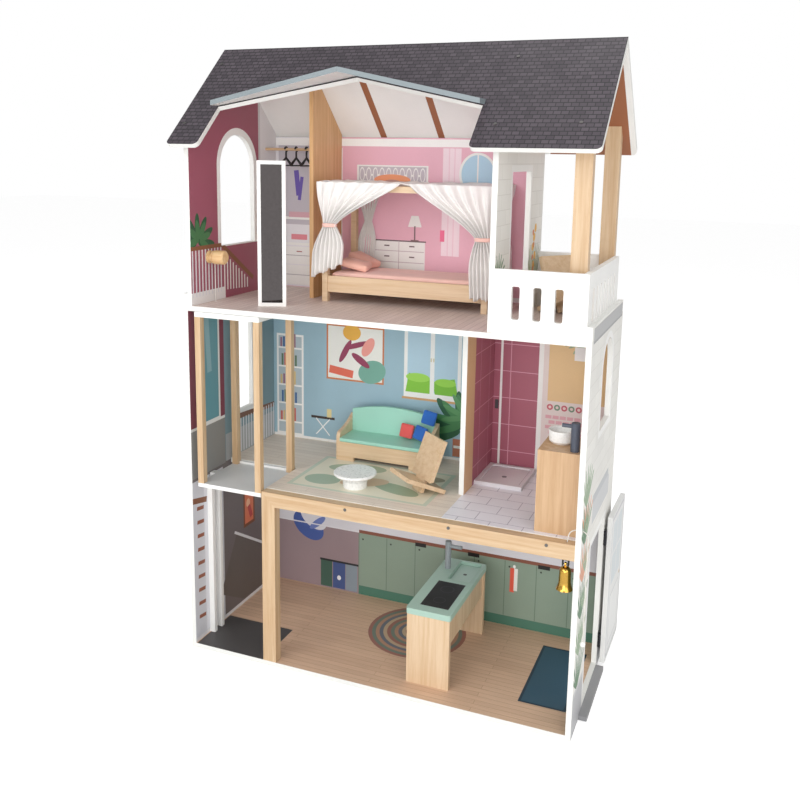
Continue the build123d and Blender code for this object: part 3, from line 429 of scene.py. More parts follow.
# ---- Back panels ----
# Thin boards behind each floor, printed with the kitchen, the living room, the shower and
# the bedroom. They close the house at the back, where they are plain and pale.
KITCHEN_WALL, LIVING_BLUE, PLUM = ink(222, 220, 226), ink(156, 186, 200), ink(150, 62, 92)
kitchen = [
    (KITCHEN_WALL, 0, 300, 390, 100),
    (ink(154, 134, 138), 0, 82, 390, 82), (KITCHEN_WALL, -280, 232, 112, 68),
    (ink(72, 94, 160), -300, 158, 44, 30, -34, 1), (KITCHEN_WALL, -287, 180, 38, 24, -34, 1),
    (ink(110, 128, 190), -276, 168, 26, 8, 40, 1), (ink(228, 226, 230), -280, 164, 112, 1.5),
    (ink(66, 96, 84), -252, 46, 15, 33), (ink(70, 88, 138), -219, 46, 16, 33),
    (ink(138, 150, 160), -187, 46, 15, 33), (ink(40, 42, 46), -219, 80, 50, 2.5),
    (ink(240, 240, 240), -219, 40, 5, 6, 0, 1),
    (ink(140, 158, 142), 112, 97, 280, 65), (ink(76, 122, 104), 112, 20, 280, 12),
    (ink(136, 82, 66), 112, 166, 280, 4), (ink(196, 200, 196), 112, 320, 280, 40),
    (ink(140, 158, 142), 112, 336, 280, 26),
]
for n in range(9):
    kitchen.append((ink(104, 126, 110), -168 + 70 * n, 97, 0.8, 64))
    kitchen.append((ink(60, 70, 64), -158 + 70 * n, 148, 2.2, 2.2, 0, 1))
    kitchen.append((ink(104, 126, 110), -168 + 70 * n, 336, 0.8, 26))
for x in (-15, 110, 268):
    kitchen.append((ink(28, 28, 30), x, 160, 13, 4.5))
kitchen += [
    (ink(150, 168, 152), 74, 108, 26, 30), (ink(196, 208, 200), 74, 112, 20, 18),
    (ink(228, 92, 72), 199, 118, 5, 28), (ink(240, 238, 232), 207, 120, 4, 26), (WHITE, 203, 150, 3, 4, 0, 1),
]

BOOKS = [ink(196, 96, 84), ink(70, 104, 150), ink(212, 186, 130), ink(96, 120, 96), ink(150, 110, 130)]
living = [(LIVING_BLUE, -128, 546, 262, 174), (WHITE, -128, 375, 262, 3)]
living += [(WHITE, -347, 497, 35, 120), (ink(178, 190, 196), -347, 497, 30, 115)]
for shelf in range(5):
    living.append((WHITE, -347, 408 + 44 * shelf, 30, 2))
    for book in range(6):
        height = 11 + (book * 7 + shelf * 3) % 6
        living.append((BOOKS[(book * 2 + shelf) % 5], -370 + 7 * book + 3 * (shelf % 2),
                       410 + 44 * shelf + height, 2.6, height))
living += [
    (ink(202, 124, 78), -182, 586, 71, 64), (ink(238, 236, 230), -182, 586, 67, 60),
    (ink(236, 178, 76), -190, 634, 22, 18, 0, 1), (PLUM, -206, 590, 30, 7, 62, 1),
    (PLUM, -178, 606, 34, 6, 18, 1), (ink(120, 172, 156), -140, 548, 34, 26, 20, 1),
    (ink(226, 110, 88), -216, 542, 30, 9, -8), (PLUM, -168, 572, 26, 8, -34, 1),
    (ink(240, 160, 150), -150, 604, 12, 24, -30, 1),
    (WHITE, 3, 582, 66, 78), (ink(178, 206, 222), 3, 586, 58, 70),
    (ink(132, 196, 60), -26, 528, 30, 24, -10), (ink(120, 186, 52), 34, 526, 26, 22, 12),
    (ink(158, 214, 84), -30, 548, 28, 10, 0, 1), (ink(148, 206, 72), 34, 542, 24, 9, 0, 1),
    (WHITE, 3, 582, 5, 76), (WHITE, 3, 508, 66, 6), (ink(206, 160, 110), 3, 500, 70, 2.5),
    (ink(214, 206, 170), 6, 590, 1.5, 4), (ink(214, 206, 170), 0, 590, 1.5, 4),
    (ink(64, 52, 48), -262, 428, 30, 3), (WHITE, -262, 406, 26, 1.2, 48), (WHITE, -262, 406, 26, 1.2, -48),
    (ink(222, 206, 150), -246, 440, 6, 10),
]
MONSTERA = ink(46, 96, 66)
living += leaves(MONSTERA, 74, 440, 84, 22, 7, 210, 96)
living += leaves(ink(74, 134, 84), 76, 452, 66, 16, 8, 230, 84)
living += leaves(ink(92, 150, 96), 84, 470, 56, 12, 7, 200, 90)
living += [(ink(190, 120, 92), 70, 400, 16, 20), (ink(238, 236, 230), 70, 402, 14, 3)]

SHOWER, GROUT = ink(168, 92, 110), ink(214, 156, 172)
bathroom = [(ink(226, 192, 142), 325, 626, 67, 96), (SHOWER, 190, 546, 50, 174)]
for n in range(6):
    bathroom.append((GROUT, 190, 410 + 58 * n, 50, 0.8))
bathroom.append((GROUT, 178, 546, 0.8, 174))
bathroom += [(WHITE, 242, 546, 5, 174), (WHITE, 158, 546, 2.5, 174), (ink(70, 66, 70), 150, 510, 4, 10)]
for n in range(7):
    bathroom.append(((ink(196, 92, 104), ink(112, 142, 116))[n % 2], 264 + 15 * n, 517, 6.4, 6.4, 0, 1))
    bathroom.append((ink(232, 208, 204), 264 + 15 * n, 517, 3, 3, 0, 1))
for row in range(4):
    for n in range(8):
        bathroom.append((ink(222, 168, 176), 262 + 15 * n + 7 * (row % 2), 496 - 11 * row, 6.4, 3.6))
bathroom += leaves(GREEN, 322, 664, 34, 7, 9, 230, 90) + leaves(SAGE, 322, 656, 26, 5, 7, 200, -90)
bathroom += [(ink(236, 234, 232), 322, 634, 12, 14), (WHITE, 322, 690, 0.7, 30)]

BACK_PALE = ink(236, 235, 231)
back_low, back_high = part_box("back_panel_lower")
HALF_WAY = 0.367                       # the joint behind the middle floor
PARTITION = 0.137                      # the joint behind the shower's side wall
GAP = 0.0002
ARRIS = 0.0005
for name, x_from, x_to, z_from, z_to, base, shapes in (
    ("kitchen_back", back_low[0], back_high[0], back_low[2], HALF_WAY - GAP, KITCHEN_WALL, kitchen),
    ("living_back", back_low[0], PARTITION - GAP, HALF_WAY + GAP, back_high[2], LIVING_BLUE, living),
    ("bathroom_back", PARTITION + GAP, back_high[0], HALF_WAY + GAP, back_high[2], ink(228, 214, 210),
     bathroom),
):
    bpy.ops.object.select_all(action="DESELECT")
    bpy.ops.mesh.primitive_cube_add(size=1, location=(
        (x_from + x_to) / 2, (back_low[1] + back_high[1]) / 2, (z_from + z_to) / 2))
    back_board = bpy.context.object
    back_board.name = name
    back_board.scale = (x_to - x_from, back_high[1] - back_low[1], z_to - z_from)
    bpy.ops.object.transform_apply(location=True, rotation=True, scale=True)
    soften = back_board.modifiers.new("arris", "BEVEL")
    soften.width = ARRIS
    soften.segments = 2
    bpy.ops.object.modifier_apply(modifier="arris")
    back_board.data.materials.append(printed_board(name, EDGE_WHITE, {
        "-Y": (base, shapes), "+Y": (BACK_PALE, [])}))
    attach(back_board, "house")
    if name == "kitchen_back":
        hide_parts("back_panel_lower")

IRON_GREY, DRAWER_LINE = ink(110, 92, 96), ink(196, 180, 186)
bedroom = [
    (BEDROOM_PINK, 0, 880, 228, 160),
    (ink(232, 230, 234), -303, 900, 78, 170), (ink(196, 190, 198), -303, 960, 70, 90),
    (WHITE, -303, 884, 72, 3), (WHITE, -303, 826, 72, 3), (ink(214, 168, 178), -322, 892, 26, 6),
    (WHITE, -322, 800, 52, 20), (ink(168, 162, 168), -322, 800, 50, 0.7), (WHITE, -303, 756, 72, 22),
    (ink(168, 162, 168), -303, 756, 70, 0.7), (ink(160, 90, 90), -322, 809, 7, 1.2),
    (ink(226, 140, 150), -322, 842, 20, 6), (ink(104, 84, 170), -326, 962, 6, 28, 6),
    (ink(104, 84, 170), -318, 950, 4, 26, -8), (WHITE, -220, 880, 5, 160),
    (WHITE, -98, 985, 82, 20), (ink(196, 188, 196), -98, 985, 78, 17), (WHITE, -98, 984, 66, 2),
    (WHITE, -98, 968, 84, 4),
]
for n in range(10):
    bedroom.append((WHITE, -168 + 15.5 * n, 985, 6, 15, 0, 1))
    bedroom.append((ink(196, 188, 196), -168 + 15.5 * n, 985, 4.4, 12, 0, 1))
bedroom += [(ink(238, 156, 112), -98, 974, 42, 12, 0, 1), (ink(196, 150, 140), -98, 968, 20, 7, 0, 1)]
bedroom += [
    (WHITE, -80, 803, 60, 42), (IRON_GREY, -80, 845, 62, 1.4), (DRAWER_LINE, -80, 823, 58, 0.7),
    (DRAWER_LINE, -80, 799, 58, 0.7), (DRAWER_LINE, -80, 803, 0.7, 42),
    (IRON_GREY, -108, 834, 6, 1.4), (IRON_GREY, -50, 834, 6, 1.4),
    (IRON_GREY, -108, 811, 6, 1.4), (IRON_GREY, -50, 811, 6, 1.4),
    (WHITE, -44, 888, 15, 12), (BEDROOM_PINK, -61, 892, 6, 17, -18),
    (BEDROOM_PINK, -27, 892, 6, 17, 18),
    (ink(128, 100, 100), -44, 862, 1.6, 16), (ink(128, 100, 100), -44, 847, 9, 1.6),
    (ink(244, 222, 230), 36, 930, 20, 112), (ink(238, 204, 216), 30, 930, 1.2, 112),
    (ink(238, 204, 216), 42, 930, 1.2, 112), (WHITE, 92, 990, 40, 44, 0, 1),
    (ink(178, 212, 232), 92, 990, 35, 39, 0, 1),
    (WHITE, 92, 990, 1.6, 40), (WHITE, 92, 960, 38, 2), (ink(244, 222, 230), 146, 930, 20, 112),
    (ink(240, 110, 150), 18, 860, 5, 12), (ink(248, 247, 245), 0, 1052, 400, 8),
    (ink(246, 240, 242), 0, 735, 228, 5),
]
dress("back_panel_attic", printed_board("attic_back_board", EDGE_WHITE, {
    "-Y": (BEDROOM_PINK, bedroom),
    "+Y": (ink(236, 235, 231), [(ink(222, 220, 215), 0, 735, 400, 1.2)])}))

# ---- Inner walls of the middle and top floors ----
# The shower's side wall, the attic's end wall with its printed landing rail and arched
# window, and the wall to the terrace with its doorway and garden print.
shower_side = [(SHOWER, 270, 546, 72, 174)]
for n in range(6):
    shower_side.append((GROUT, 270, 410 + 58 * n, 72, 0.8))
for depth in (236, 300):
    shower_side.append((GROUT, depth, 546, 0.8, 174))
shower_side.append((ink(216, 176, 132), 168, 546, 26, 174))
dress("bath_partition", printed_board("shower_board", EDGE_WHITE, {
    "+X": (ink(216, 176, 132), shower_side),
    "-X": (LIVING_BLUE, [(WHITE, 238, 375, 100, 3)])}))

ROSE = ink(160, 88, 106)
landing = [
    (ink(228, 225, 228), 300, 980, 42, 260), (ink(246, 246, 244), 173, 920, 77, 84),
    (ink(246, 246, 244), 173, 1000, 77, 76, 0, 1), (ink(206, 204, 206), 262, 980, 4, 260),
    (ink(250, 249, 247), 120, 1222, 300, 22, 43), (ink(236, 234, 232), 60, 741, 60, 12),
]
landing += leaves(ink(44, 92, 62), 24, 850, 56, 17, 7, 190)
landing += leaves(ink(70, 122, 78), 30, 856, 38, 14, 6, 220, 80)
landing += balusters(6, 112, 744, 838)
landing += [(WHITE, 118 + 11 * n, 784 - 4 * n, 2, 38 - 3.4 * n) for n in range(9)]
landing += [(ink(138, 90, 62), 54, 840, 58, 4), (ink(138, 90, 62), 170, 799, 72, 5, -34)]
dress("attic_left_wall", printed_board("landing_board", EDGE_WHITE, {
    "+X": (ROSE, landing),
    "-X": (stonework, [(ink(248, 247, 244), 173, 920, 77, 84),
                       (ink(248, 247, 244), 173, 1000, 77, 76, 0, 1)])}))

garden = [(ink(214, 212, 206), 167, 742, 167, 14), (ink(244, 243, 240), 167, 870, 76, 142)]
garden += leaves(ink(104, 140, 112), 26, 760, 70, 7, 9, 110)
garden += leaves(ink(140, 168, 136), 30, 790, 58, 6, 9, 130)
garden += leaves(ink(104, 140, 112), 28, 820, 42, 5, 7, 130)
garden += leaves(ink(130, 150, 110), 280, 736, 120, 6, 9, 50)
garden += leaves(ink(170, 180, 130), 262, 736, 84, 5, 7, 60)
garden += [(ink(236, 180, 70), 268 + 9 * (n % 3), 800 + 18 * n, 8, 9, 30 * n, 1) for n in range(6)]
garden += [(ink(222, 130, 60), 276 - 7 * (n % 2), 810 + 24 * n, 6, 6, 0, 1) for n in range(4)]
dress("terrace_wall", printed_board("terrace_board", EDGE_WHITE, {
    "+X": (stonework, garden),
    "-X": (BEDROOM_PINK, [(ink(248, 246, 246), 167, 866, 74, 140),
                          (ink(246, 240, 242), 167, 736, 167, 6)])}))

# ---- Roof ----
# Two boards printed with dark slates, painted white below and on their edges; brown rafters
# are printed inside the back one. Pale grey boards finish the opening over the bedroom.
SLOPE_OUT, SLOPE_UP = 0.678, 0.735     # how far out and up a roof slope faces


def slates(tree, plane):
    """Staggered courses of slate, with the odd lighter one."""
    rows = wire(tree, "TexBrick", {
        "Vector": plane, "Color1": ink(80, 71, 79), "Color2": ink(60, 52, 60), "Mortar": ink(22, 18, 24),
        "Scale": 1.0, "Mortar Size": 0.75, "Mortar Smooth": 0.1, "Brick Width": 13.0, "Row Height": 6.8})
    return rows.outputs[0]


def roof_material(name, side_sign, rafters, boarding):
    """Slates on the sloping top; the underside white, with brown rafters and boarding."""
    material, tree, surface, place = new_finish(name)
    plane = panel_plane(tree, place.outputs["Object"], "+Y")
    under = ink(243, 242, 239)
    for x, half_width in [(rafter, 7) for rafter in rafters] + list(boarding):
        mask = group_node(tree, ink_shape, {
            "Vector": plane, "Centre": (x, 1130, 0), "Half": (half_width, 400, 1)}).outputs[0]
        under = blend_ink(tree, mask, under, ink(158, 100, 68))
    top = wire(tree, "VectorMath", {0: place.outputs["Normal"], 1: (0, SLOPE_OUT * side_sign, SLOPE_UP)},
               operation="DOT_PRODUCT")
    low = wire(tree, "VectorMath", {0: place.outputs["Normal"], 1: (0, -SLOPE_OUT * side_sign, -SLOPE_UP)},
               operation="DOT_PRODUCT")
    on_top = wire(tree, "Math", {0: top.outputs["Value"], 1: 0.9}, operation="GREATER_THAN")
    below = wire(tree, "Math", {0: low.outputs["Value"], 1: 0.9}, operation="GREATER_THAN")
    tiles = slates(tree, plane)
    colour = blend_ink(tree, below.outputs[0], EDGE_WHITE, under)
    colour = blend_ink(tree, on_top.outputs[0], colour, tiles)
    coat_board(tree, surface, place, colour, 0.06)
    return material


dress("roof_front", roof_material("front_slates", -1, (), ()))
dress("roof_back", roof_material("back_slates", 1, (-120, 10, 150), [(313, 80)]))
dress("gable_boards", printed_board("gable_board", ink(134, 144, 148), {
    "-Z": (ink(222, 221, 219), [])}))

# ---- Pine posts, beams and the divider ----
# Planed pine, clear lacquered, with its grain along each length and a few small knots.
pine_grain, taken, given = new_group(
    "pine_grain",
    [("Vector", "Vector", None), ("Stretch", "Vector", (1, 1, 1)), ("Light", "Color", None),
     ("Dark", "Color", None)],
    [("Colour", "Color"), ("Roughness", "Float"), ("Height", "Float")],
)
drawn = wire(pine_grain, "VectorMath", {0: taken["Vector"], 1: taken["Stretch"]}, operation="MULTIPLY")
bands = wire(pine_grain, "TexNoise", {"Vector": drawn.outputs[0], "Scale": 1.0, "Detail": 5.0,
                                      "Roughness": 0.62, "Distortion": 0.25})
pores = wire(pine_grain, "TexNoise", {"Vector": drawn.outputs[0], "Scale": 9.0, "Detail": 3.0})
share = wire(pine_grain, "MapRange", {0: bands.outputs[0], 1: 0.36, 2: 0.72, 3: 0.0, 4: 1.0})
fine = wire(pine_grain, "MapRange", {0: pores.outputs[0], 1: 0.35, 2: 0.7, 3: 0.0, 4: 0.28})
summed = wire(pine_grain, "Math", {0: share.outputs[0], 1: fine.outputs[0]}, operation="ADD", use_clamp=True)
tinted = wire(pine_grain, "Mix", {0: summed.outputs[0], 6: taken["Light"], 7: taken["Dark"]},
              data_type="RGBA")
sheen = wire(pine_grain, "MapRange", {0: bands.outputs[0], 1: 0.3, 2: 0.7, 3: 0.36, 4: 0.5})
pine_grain.links.new(tinted.outputs[2], given["Colour"])
pine_grain.links.new(sheen.outputs[0], given["Roughness"])
pine_grain.links.new(pores.outputs[0], given["Height"])

GRAIN = {"X": (5, 130, 130), "Y": (130, 5, 130), "Z": (130, 130, 5)}


def timber(name, along, light, dark):
    """Lacquered wood with its grain along one axis of the house."""
    material, tree, surface, place = new_finish(name)
    grain = group_node(tree, pine_grain, {
        "Vector": place.outputs["Object"], "Stretch": GRAIN[along], "Light": light, "Dark": dark})
    relief = wire(tree, "Bump", {"Strength": 0.12, "Distance": 0.0003, "Height": grain.outputs["Height"]})
    feed(tree, surface, {"Base Color": grain.outputs["Colour"], "Roughness": grain.outputs["Roughness"],
                         "Normal": relief.outputs[0], "Coat Weight": 0.15, "Coat Roughness": 0.3})
    return material


PINE_LIGHT, PINE_DARK = ink(214, 187, 152), ink(194, 158, 118)
pine_upright = timber("pine_upright", "Z", PINE_LIGHT, PINE_DARK)
pine_beam = timber("pine_beam", "X", PINE_LIGHT, PINE_DARK)
dress("terrace_posts", pine_upright)
dress("elevator_posts", pine_upright)
dress("attic_partition", timber("pine_divider", "Z", ink(226, 184, 132), ink(202, 154, 102)))
dress("wardrobe_rail", pine_beam)

frame_object = nodes["front_frame"]
dress("front_frame", pine_upright)
frame_object.data.materials.append(pine_beam)
post_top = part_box("middle_floor")[1][2] - 0.030
for face in frame_object.data.polygons:
    if face.center.z > post_top:
        face.material_index = 1

# ---- White painted fittings ----
# Rails, lift plates, the lift's guides and the shower tray: sprayed satin white with a
# faint orange peel.
def painted(name, tint):
    """Satin paint with a faint orange peel and a slow change of tone."""
    return printed_board(name, tint, {}, bump=0.16)


white_paint = painted("white_paint", ink(243, 242, 239))
for name in ("terrace_rails", "elevator_platform", "elevator_top", "lift_guides", "cord_bead",
             "mirror_frame"):
    dress(name, white_paint)
dress("elevator_platform", printed_board("lift_floor", ink(240, 240, 238), {"+Z": (ink(214, 214, 214), [])}))
dress("shower_tray", printed_board("tray_paint", ink(226, 222, 226), {"+Z": (ink(230, 226, 230), [
    (ink(122, 96, 108), 191, 271, 41, 52), (ink(232, 228, 232), 191, 271, 39.6, 50.6),
    (ink(60, 56, 62), 191, 264, 5, 5, 0, 1), (ink(150, 146, 150), 191, 264, 3.4, 3.4, 0, 1)])}))
dress("door_step", painted("step_paint", ink(150, 150, 152)))

# ---- Lift cord and winder ----
# A white cord runs from the spool down through the floor to the cabin. The knob and spool
# are turned beech on a wooden axle.
dress("winder", timber("turned_beech", "X", ink(238, 206, 158), ink(216, 172, 118)))
low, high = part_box("lift_cord")
bpy.ops.object.select_all(action="DESELECT")
bpy.ops.mesh.primitive_cylinder_add(vertices=12, radius=0.00075, depth=high[2] - low[2], location=(
    (low[0] + high[0]) / 2, (low[1] + high[1]) / 2, (low[2] + high[2]) / 2))
lift_line = bpy.context.object
lift_line.name = "lift_line"
bpy.ops.object.mode_set(mode="EDIT")
bpy.ops.mesh.select_all(action="SELECT")
bpy.ops.mesh.bisect(plane_co=(0, 0, (low[2] + high[2]) / 2), plane_no=(0, 0, 1))
for cut in range(1, 12):
    bpy.ops.mesh.select_all(action="SELECT")
    bpy.ops.mesh.bisect(plane_co=(0, 0, low[2] + (high[2] - low[2]) * cut / 12), plane_no=(0, 0, 1))
bpy.ops.object.mode_set(mode="OBJECT")
bpy.ops.object.transform_apply(location=True, rotation=True, scale=True)


def braid(name, tint):
    """Tight diagonal braid of a thin cord, darkened by painted shade in the grooves between its strands."""
    material, tree, surface, place = new_finish(name)
    strands = wire(tree, "TexWave", {"Vector": place.outputs["Object"], "Scale": 900.0, "Distortion": 0.4},
                   bands_direction="DIAGONAL")
    # Painted shade: the white cord is darkened by up to a fifth in the grooves between strands, where the
    # relief is low.
    shade = wire(tree, "MapRange", {0: strands.outputs["Fac"], 1: 0.0, 2: 1.0, 3: 0.78, 4: 1.0})
    colour = wire(tree, "VectorMath", {0: tint[:3], 3: shade.outputs[0]}, operation="SCALE")
    relief = wire(tree, "Bump", {"Strength": 0.4, "Distance": 0.0003, "Height": strands.outputs["Fac"]})
    feed(tree, surface, {"Base Color": colour.outputs[0], "Normal": relief.outputs[0], "Roughness": 0.85})
    return material


white_braid = braid("white_braid", ink(236, 232, 224))
lift_line.data.materials.append(white_braid)
pull_cord.data.materials.append(white_braid)
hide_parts("lift_cord")
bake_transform(lift_line)

# ---- Side door and hinges ----
# A printed board door with two panels and a glazed top, on dark steel knuckle hinges.
door_print = [(ink(206, 206, 208), 331, 172, 70, 150), (ink(232, 232, 230), 331, 172, 64, 144),
              (ink(214, 214, 214), 331, 96, 50, 56), (ink(236, 236, 234), 331, 96, 46, 52),
              (ink(216, 222, 224), 331, 240, 50, 66), (ink(232, 232, 230), 331, 240, 2.5, 66),
              (ink(232, 232, 230), 331, 240, 50, 2.5), (ink(186, 150, 92), 386, 160, 4, 4, 0, 1)]
dress("side_door", printed_board("door_board", ink(226, 226, 224), {
    "+X": (ink(228, 228, 226), door_print), "-X": (ink(222, 222, 220), door_print)}))


def metal(name, tint, rough, metallic=1.0):
    """Metal or hard plastic with fine rubbed streaks in its gloss."""
    material, tree, surface, place = new_finish(name)
    rubs = wire(tree, "TexNoise", {"Vector": place.outputs["Object"], "Scale": 240.0, "Detail": 5.0})
    gloss_range = wire(tree, "MapRange", {0: rubs.outputs[0], 1: 0.3, 2: 0.7, 3: rough * 0.8, 4: rough * 1.3})
    shade = wire(tree, "MapRange", {0: rubs.outputs[0], 1: 0.3, 2: 0.7, 3: 0.9, 4: 1.06})
    colour = wire(tree, "VectorMath", {0: tint[:3], 3: shade.outputs[0]}, operation="SCALE")
    feed(tree, surface, {"Base Color": colour.outputs[0], "Roughness": gloss_range.outputs[0],
                         "Metallic": metallic})
    return material


dark_steel = metal("dark_steel", ink(60, 60, 64), 0.4)
for name in ("hinge_wall_leaves", "hinge_door_leaves"):
    dress(name, dark_steel)
dress("screws", metal("screw_heads", ink(120, 118, 116), 0.35))

# ---- Doorbell ----
# A spun brass bell with its clapper, on a black moulded clip below the beam.
brass = metal("brass", ink(214, 170, 82), 0.16)
dress("bell", brass)
dress("clapper", brass)
black_plastic = metal("black_plastic", ink(30, 30, 32), 0.45, 0.0)
dress("bell_bracket", black_plastic)
for n in (1, 2, 3):
    dress(f"hanger_{n}", black_plastic)

# ---- Canopy bed ----
# A birch frame with slim posts. The mattress and pillows are peach cotton, and thin white
# cloth lies over the canopy and is tied back to the front posts with peach ribbon.
BIRCH_LIGHT, BIRCH_DARK = ink(224, 198, 166), ink(208, 176, 138)
birch_across = timber("birch_across", "X", BIRCH_LIGHT, BIRCH_DARK)
birch_upright = timber("birch_upright", "Z", BIRCH_LIGHT, BIRCH_DARK)
dress("bed_frame", birch_across)
dress("canopy_rails", birch_across)

weave, taken, given = new_group(
    "weave", [("Vector", "Vector", None), ("Colour", "Color", None), ("Threads", "Float", 900.0)],
    [("Colour", "Color"), ("Height", "Float")],
)
across = wire(weave, "TexWave", {"Vector": taken["Vector"], "Scale": taken["Threads"]}, bands_direction="X")
upward = wire(weave, "TexWave", {"Vector": taken["Vector"], "Scale": taken["Threads"]}, bands_direction="Z")
crossed = wire(weave, "Math", {0: across.outputs["Fac"], 1: upward.outputs["Fac"]}, operation="MULTIPLY")
soft_tone = wire(weave, "TexNoise", {"Vector": taken["Vector"], "Scale": 24.0, "Detail": 3.0})
# Painted shade: the colour is a little darker in the hollows between threads, where the relief is low.
thread_gap_shade = wire(weave, "MapRange", {0: crossed.outputs[0], 1: 0.0, 2: 1.0, 3: 0.93, 4: 1.02})
tone = wire(weave, "MapRange", {0: soft_tone.outputs[0], 1: 0.3, 2: 0.7, 3: 0.94, 4: 1.04})
both = wire(weave, "Math", {0: thread_gap_shade.outputs[0], 1: tone.outputs[0]}, operation="MULTIPLY")
woven = wire(weave, "VectorMath", {0: taken["Colour"], 3: both.outputs[0]}, operation="SCALE")
weave.links.new(woven.outputs[0], given["Colour"])
weave.links.new(crossed.outputs[0], given["Height"])


def cloth(name, tint, thin=False, threads=260.0):
    """Woven cotton with painted shade between its threads; the thin kind lets light through."""
    material, tree, surface, place = new_finish(name)
    fabric = group_node(tree, weave, {"Vector": place.outputs["Object"], "Colour": tint, "Threads": threads})
    relief = wire(tree, "Bump", {"Strength": 0.25, "Distance": 0.0003, "Height": fabric.outputs["Height"]})
    feed(tree, surface, {"Base Color": fabric.outputs["Colour"], "Normal": relief.outputs[0],
                         "Roughness": 0.9, "Sheen Weight": 0.25})
    if thin:
        feed(tree, surface, {"Subsurface Weight": 0.25, "Subsurface Radius": (0.01, 0.01, 0.01)})
    return material


peach_cotton = cloth("peach_cotton", ink(246, 200, 188))
pillow_cotton = cloth("pillow_cotton", ink(240, 186, 168))
thin_white = cloth("thin_white", ink(243, 240, 237), True)


def solid_piece(source):
    """A closed copy of a board-like soft node, merged and ready to be puffed."""
    mesh = nodes[source].data.copy()
    piece = bpy.data.objects.new(source + "_soft", mesh)
    bpy.context.scene.collection.objects.link(piece)
    bpy.ops.object.select_all(action="DESELECT")
    piece.select_set(True)
    bpy.context.view_layer.objects.active = piece
    bpy.ops.object.mode_set(mode="EDIT")
    bpy.ops.mesh.select_all(action="SELECT")
    bpy.ops.mesh.remove_doubles(threshold=0.00001)
    bpy.ops.object.mode_set(mode="OBJECT")
    return piece


def puff(source, voxel, cap, material, body):
    """Fills a soft solid by cloth pressure, caps how far it may swell, and finishes it."""
    piece = solid_piece(source)
    grid = piece.modifiers.new("grid", "REMESH")
    grid.mode = "VOXEL"
    grid.voxel_size = voxel
    bpy.ops.object.modifier_apply(modifier="grid")
    start_places = [v.co.copy() for v in piece.data.vertices]
    stuffing = piece.modifiers.new("stuffing", "CLOTH")
    stuffing.settings.use_pressure = True
    stuffing.settings.uniform_pressure_force = 4
    stuffing.settings.effector_weights.gravity = 0
    stuffing.settings.quality = 5
    stuffing.point_cache.frame_start = 1
    stuffing.point_cache.frame_end = 20
    for number in range(1, 21):
        bpy.context.scene.frame_set(number)
    bpy.ops.object.modifier_apply(modifier="stuffing")
    bpy.context.scene.frame_set(1)
    for vertex, start in zip(piece.data.vertices, start_places):
        step = vertex.co - start
        if step.length > cap:
            vertex.co = start + step.normalized() * cap
    smooth = piece.modifiers.new("smooth", "SUBSURF")
    smooth.levels = smooth.render_levels = 1
    bpy.ops.object.modifier_apply(modifier="smooth")
    bpy.ops.object.shade_smooth()
    piece.data.materials.clear()
    piece.data.materials.append(material)
    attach(piece, body)
    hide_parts(source)
    return piece


puff("mattress", 0.004, 0.0015, peach_cotton, "bed")
puff("pillows", 0.0025, 0.003, pillow_cotton, "bed")

# Canopy cloth: one thin sheet over the rails that sags a little between them, and four
# gathered drops, one at each corner. Ribbons pinch the two front ones.
bed_low, bed_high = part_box("canopy_rails")
RAIL_TOP = bed_high[2]


def fold_sheet(name, columns, rows, shape):
    """A sheet of cloth whose points are given by a formula over 0 to 1 each way."""
    bpy.ops.object.select_all(action="DESELECT")
    bpy.ops.mesh.primitive_grid_add(x_subdivisions=columns, y_subdivisions=rows, size=1)
    piece = bpy.context.object
    piece.name = name
    for vertex in piece.data.vertices:
        vertex.co = shape(vertex.co.x + 0.5, vertex.co.y + 0.5)
    skin_modifier = piece.modifiers.new("skin", "SOLIDIFY")
    skin_modifier.thickness = 0.0006
    skin_modifier.offset = 0
    bpy.ops.object.modifier_apply(modifier="skin")
    bpy.ops.object.shade_smooth()
    piece.data.materials.append(thin_white)
    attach(piece, "bed")
    return piece


def roof_cloth(u, v):
    x = bed_low[0] - 0.006 + u * (bed_high[0] - bed_low[0] + 0.012)
    y = bed_low[1] - 0.004 + v * (bed_high[1] - bed_low[1] + 0.008)
    inner = math.sin(math.pi * u) * math.sin(math.pi * v)
    sag = -0.006 * inner ** 0.5 if inner > 0 else 0
    crease = 0.0012 * math.sin(u * 31 + 2 * v) + 0.001 * math.sin(v * 17 + u * 5)
    crease += 0.0008 * math.sin(u * 57 - 9 * v) + 0.0007 * math.sin(u * 13 + 23 * v)
    return Vector((x, y, RAIL_TOP + 0.0055 + sag + crease))


canopy_roof = fold_sheet("canopy_roof", 72, 30, roof_cloth)
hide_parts("canopy_cloth")


def ease(t):
    return t * t * (3 - 2 * t)


FOLDS = 7                              # pleats across one drop


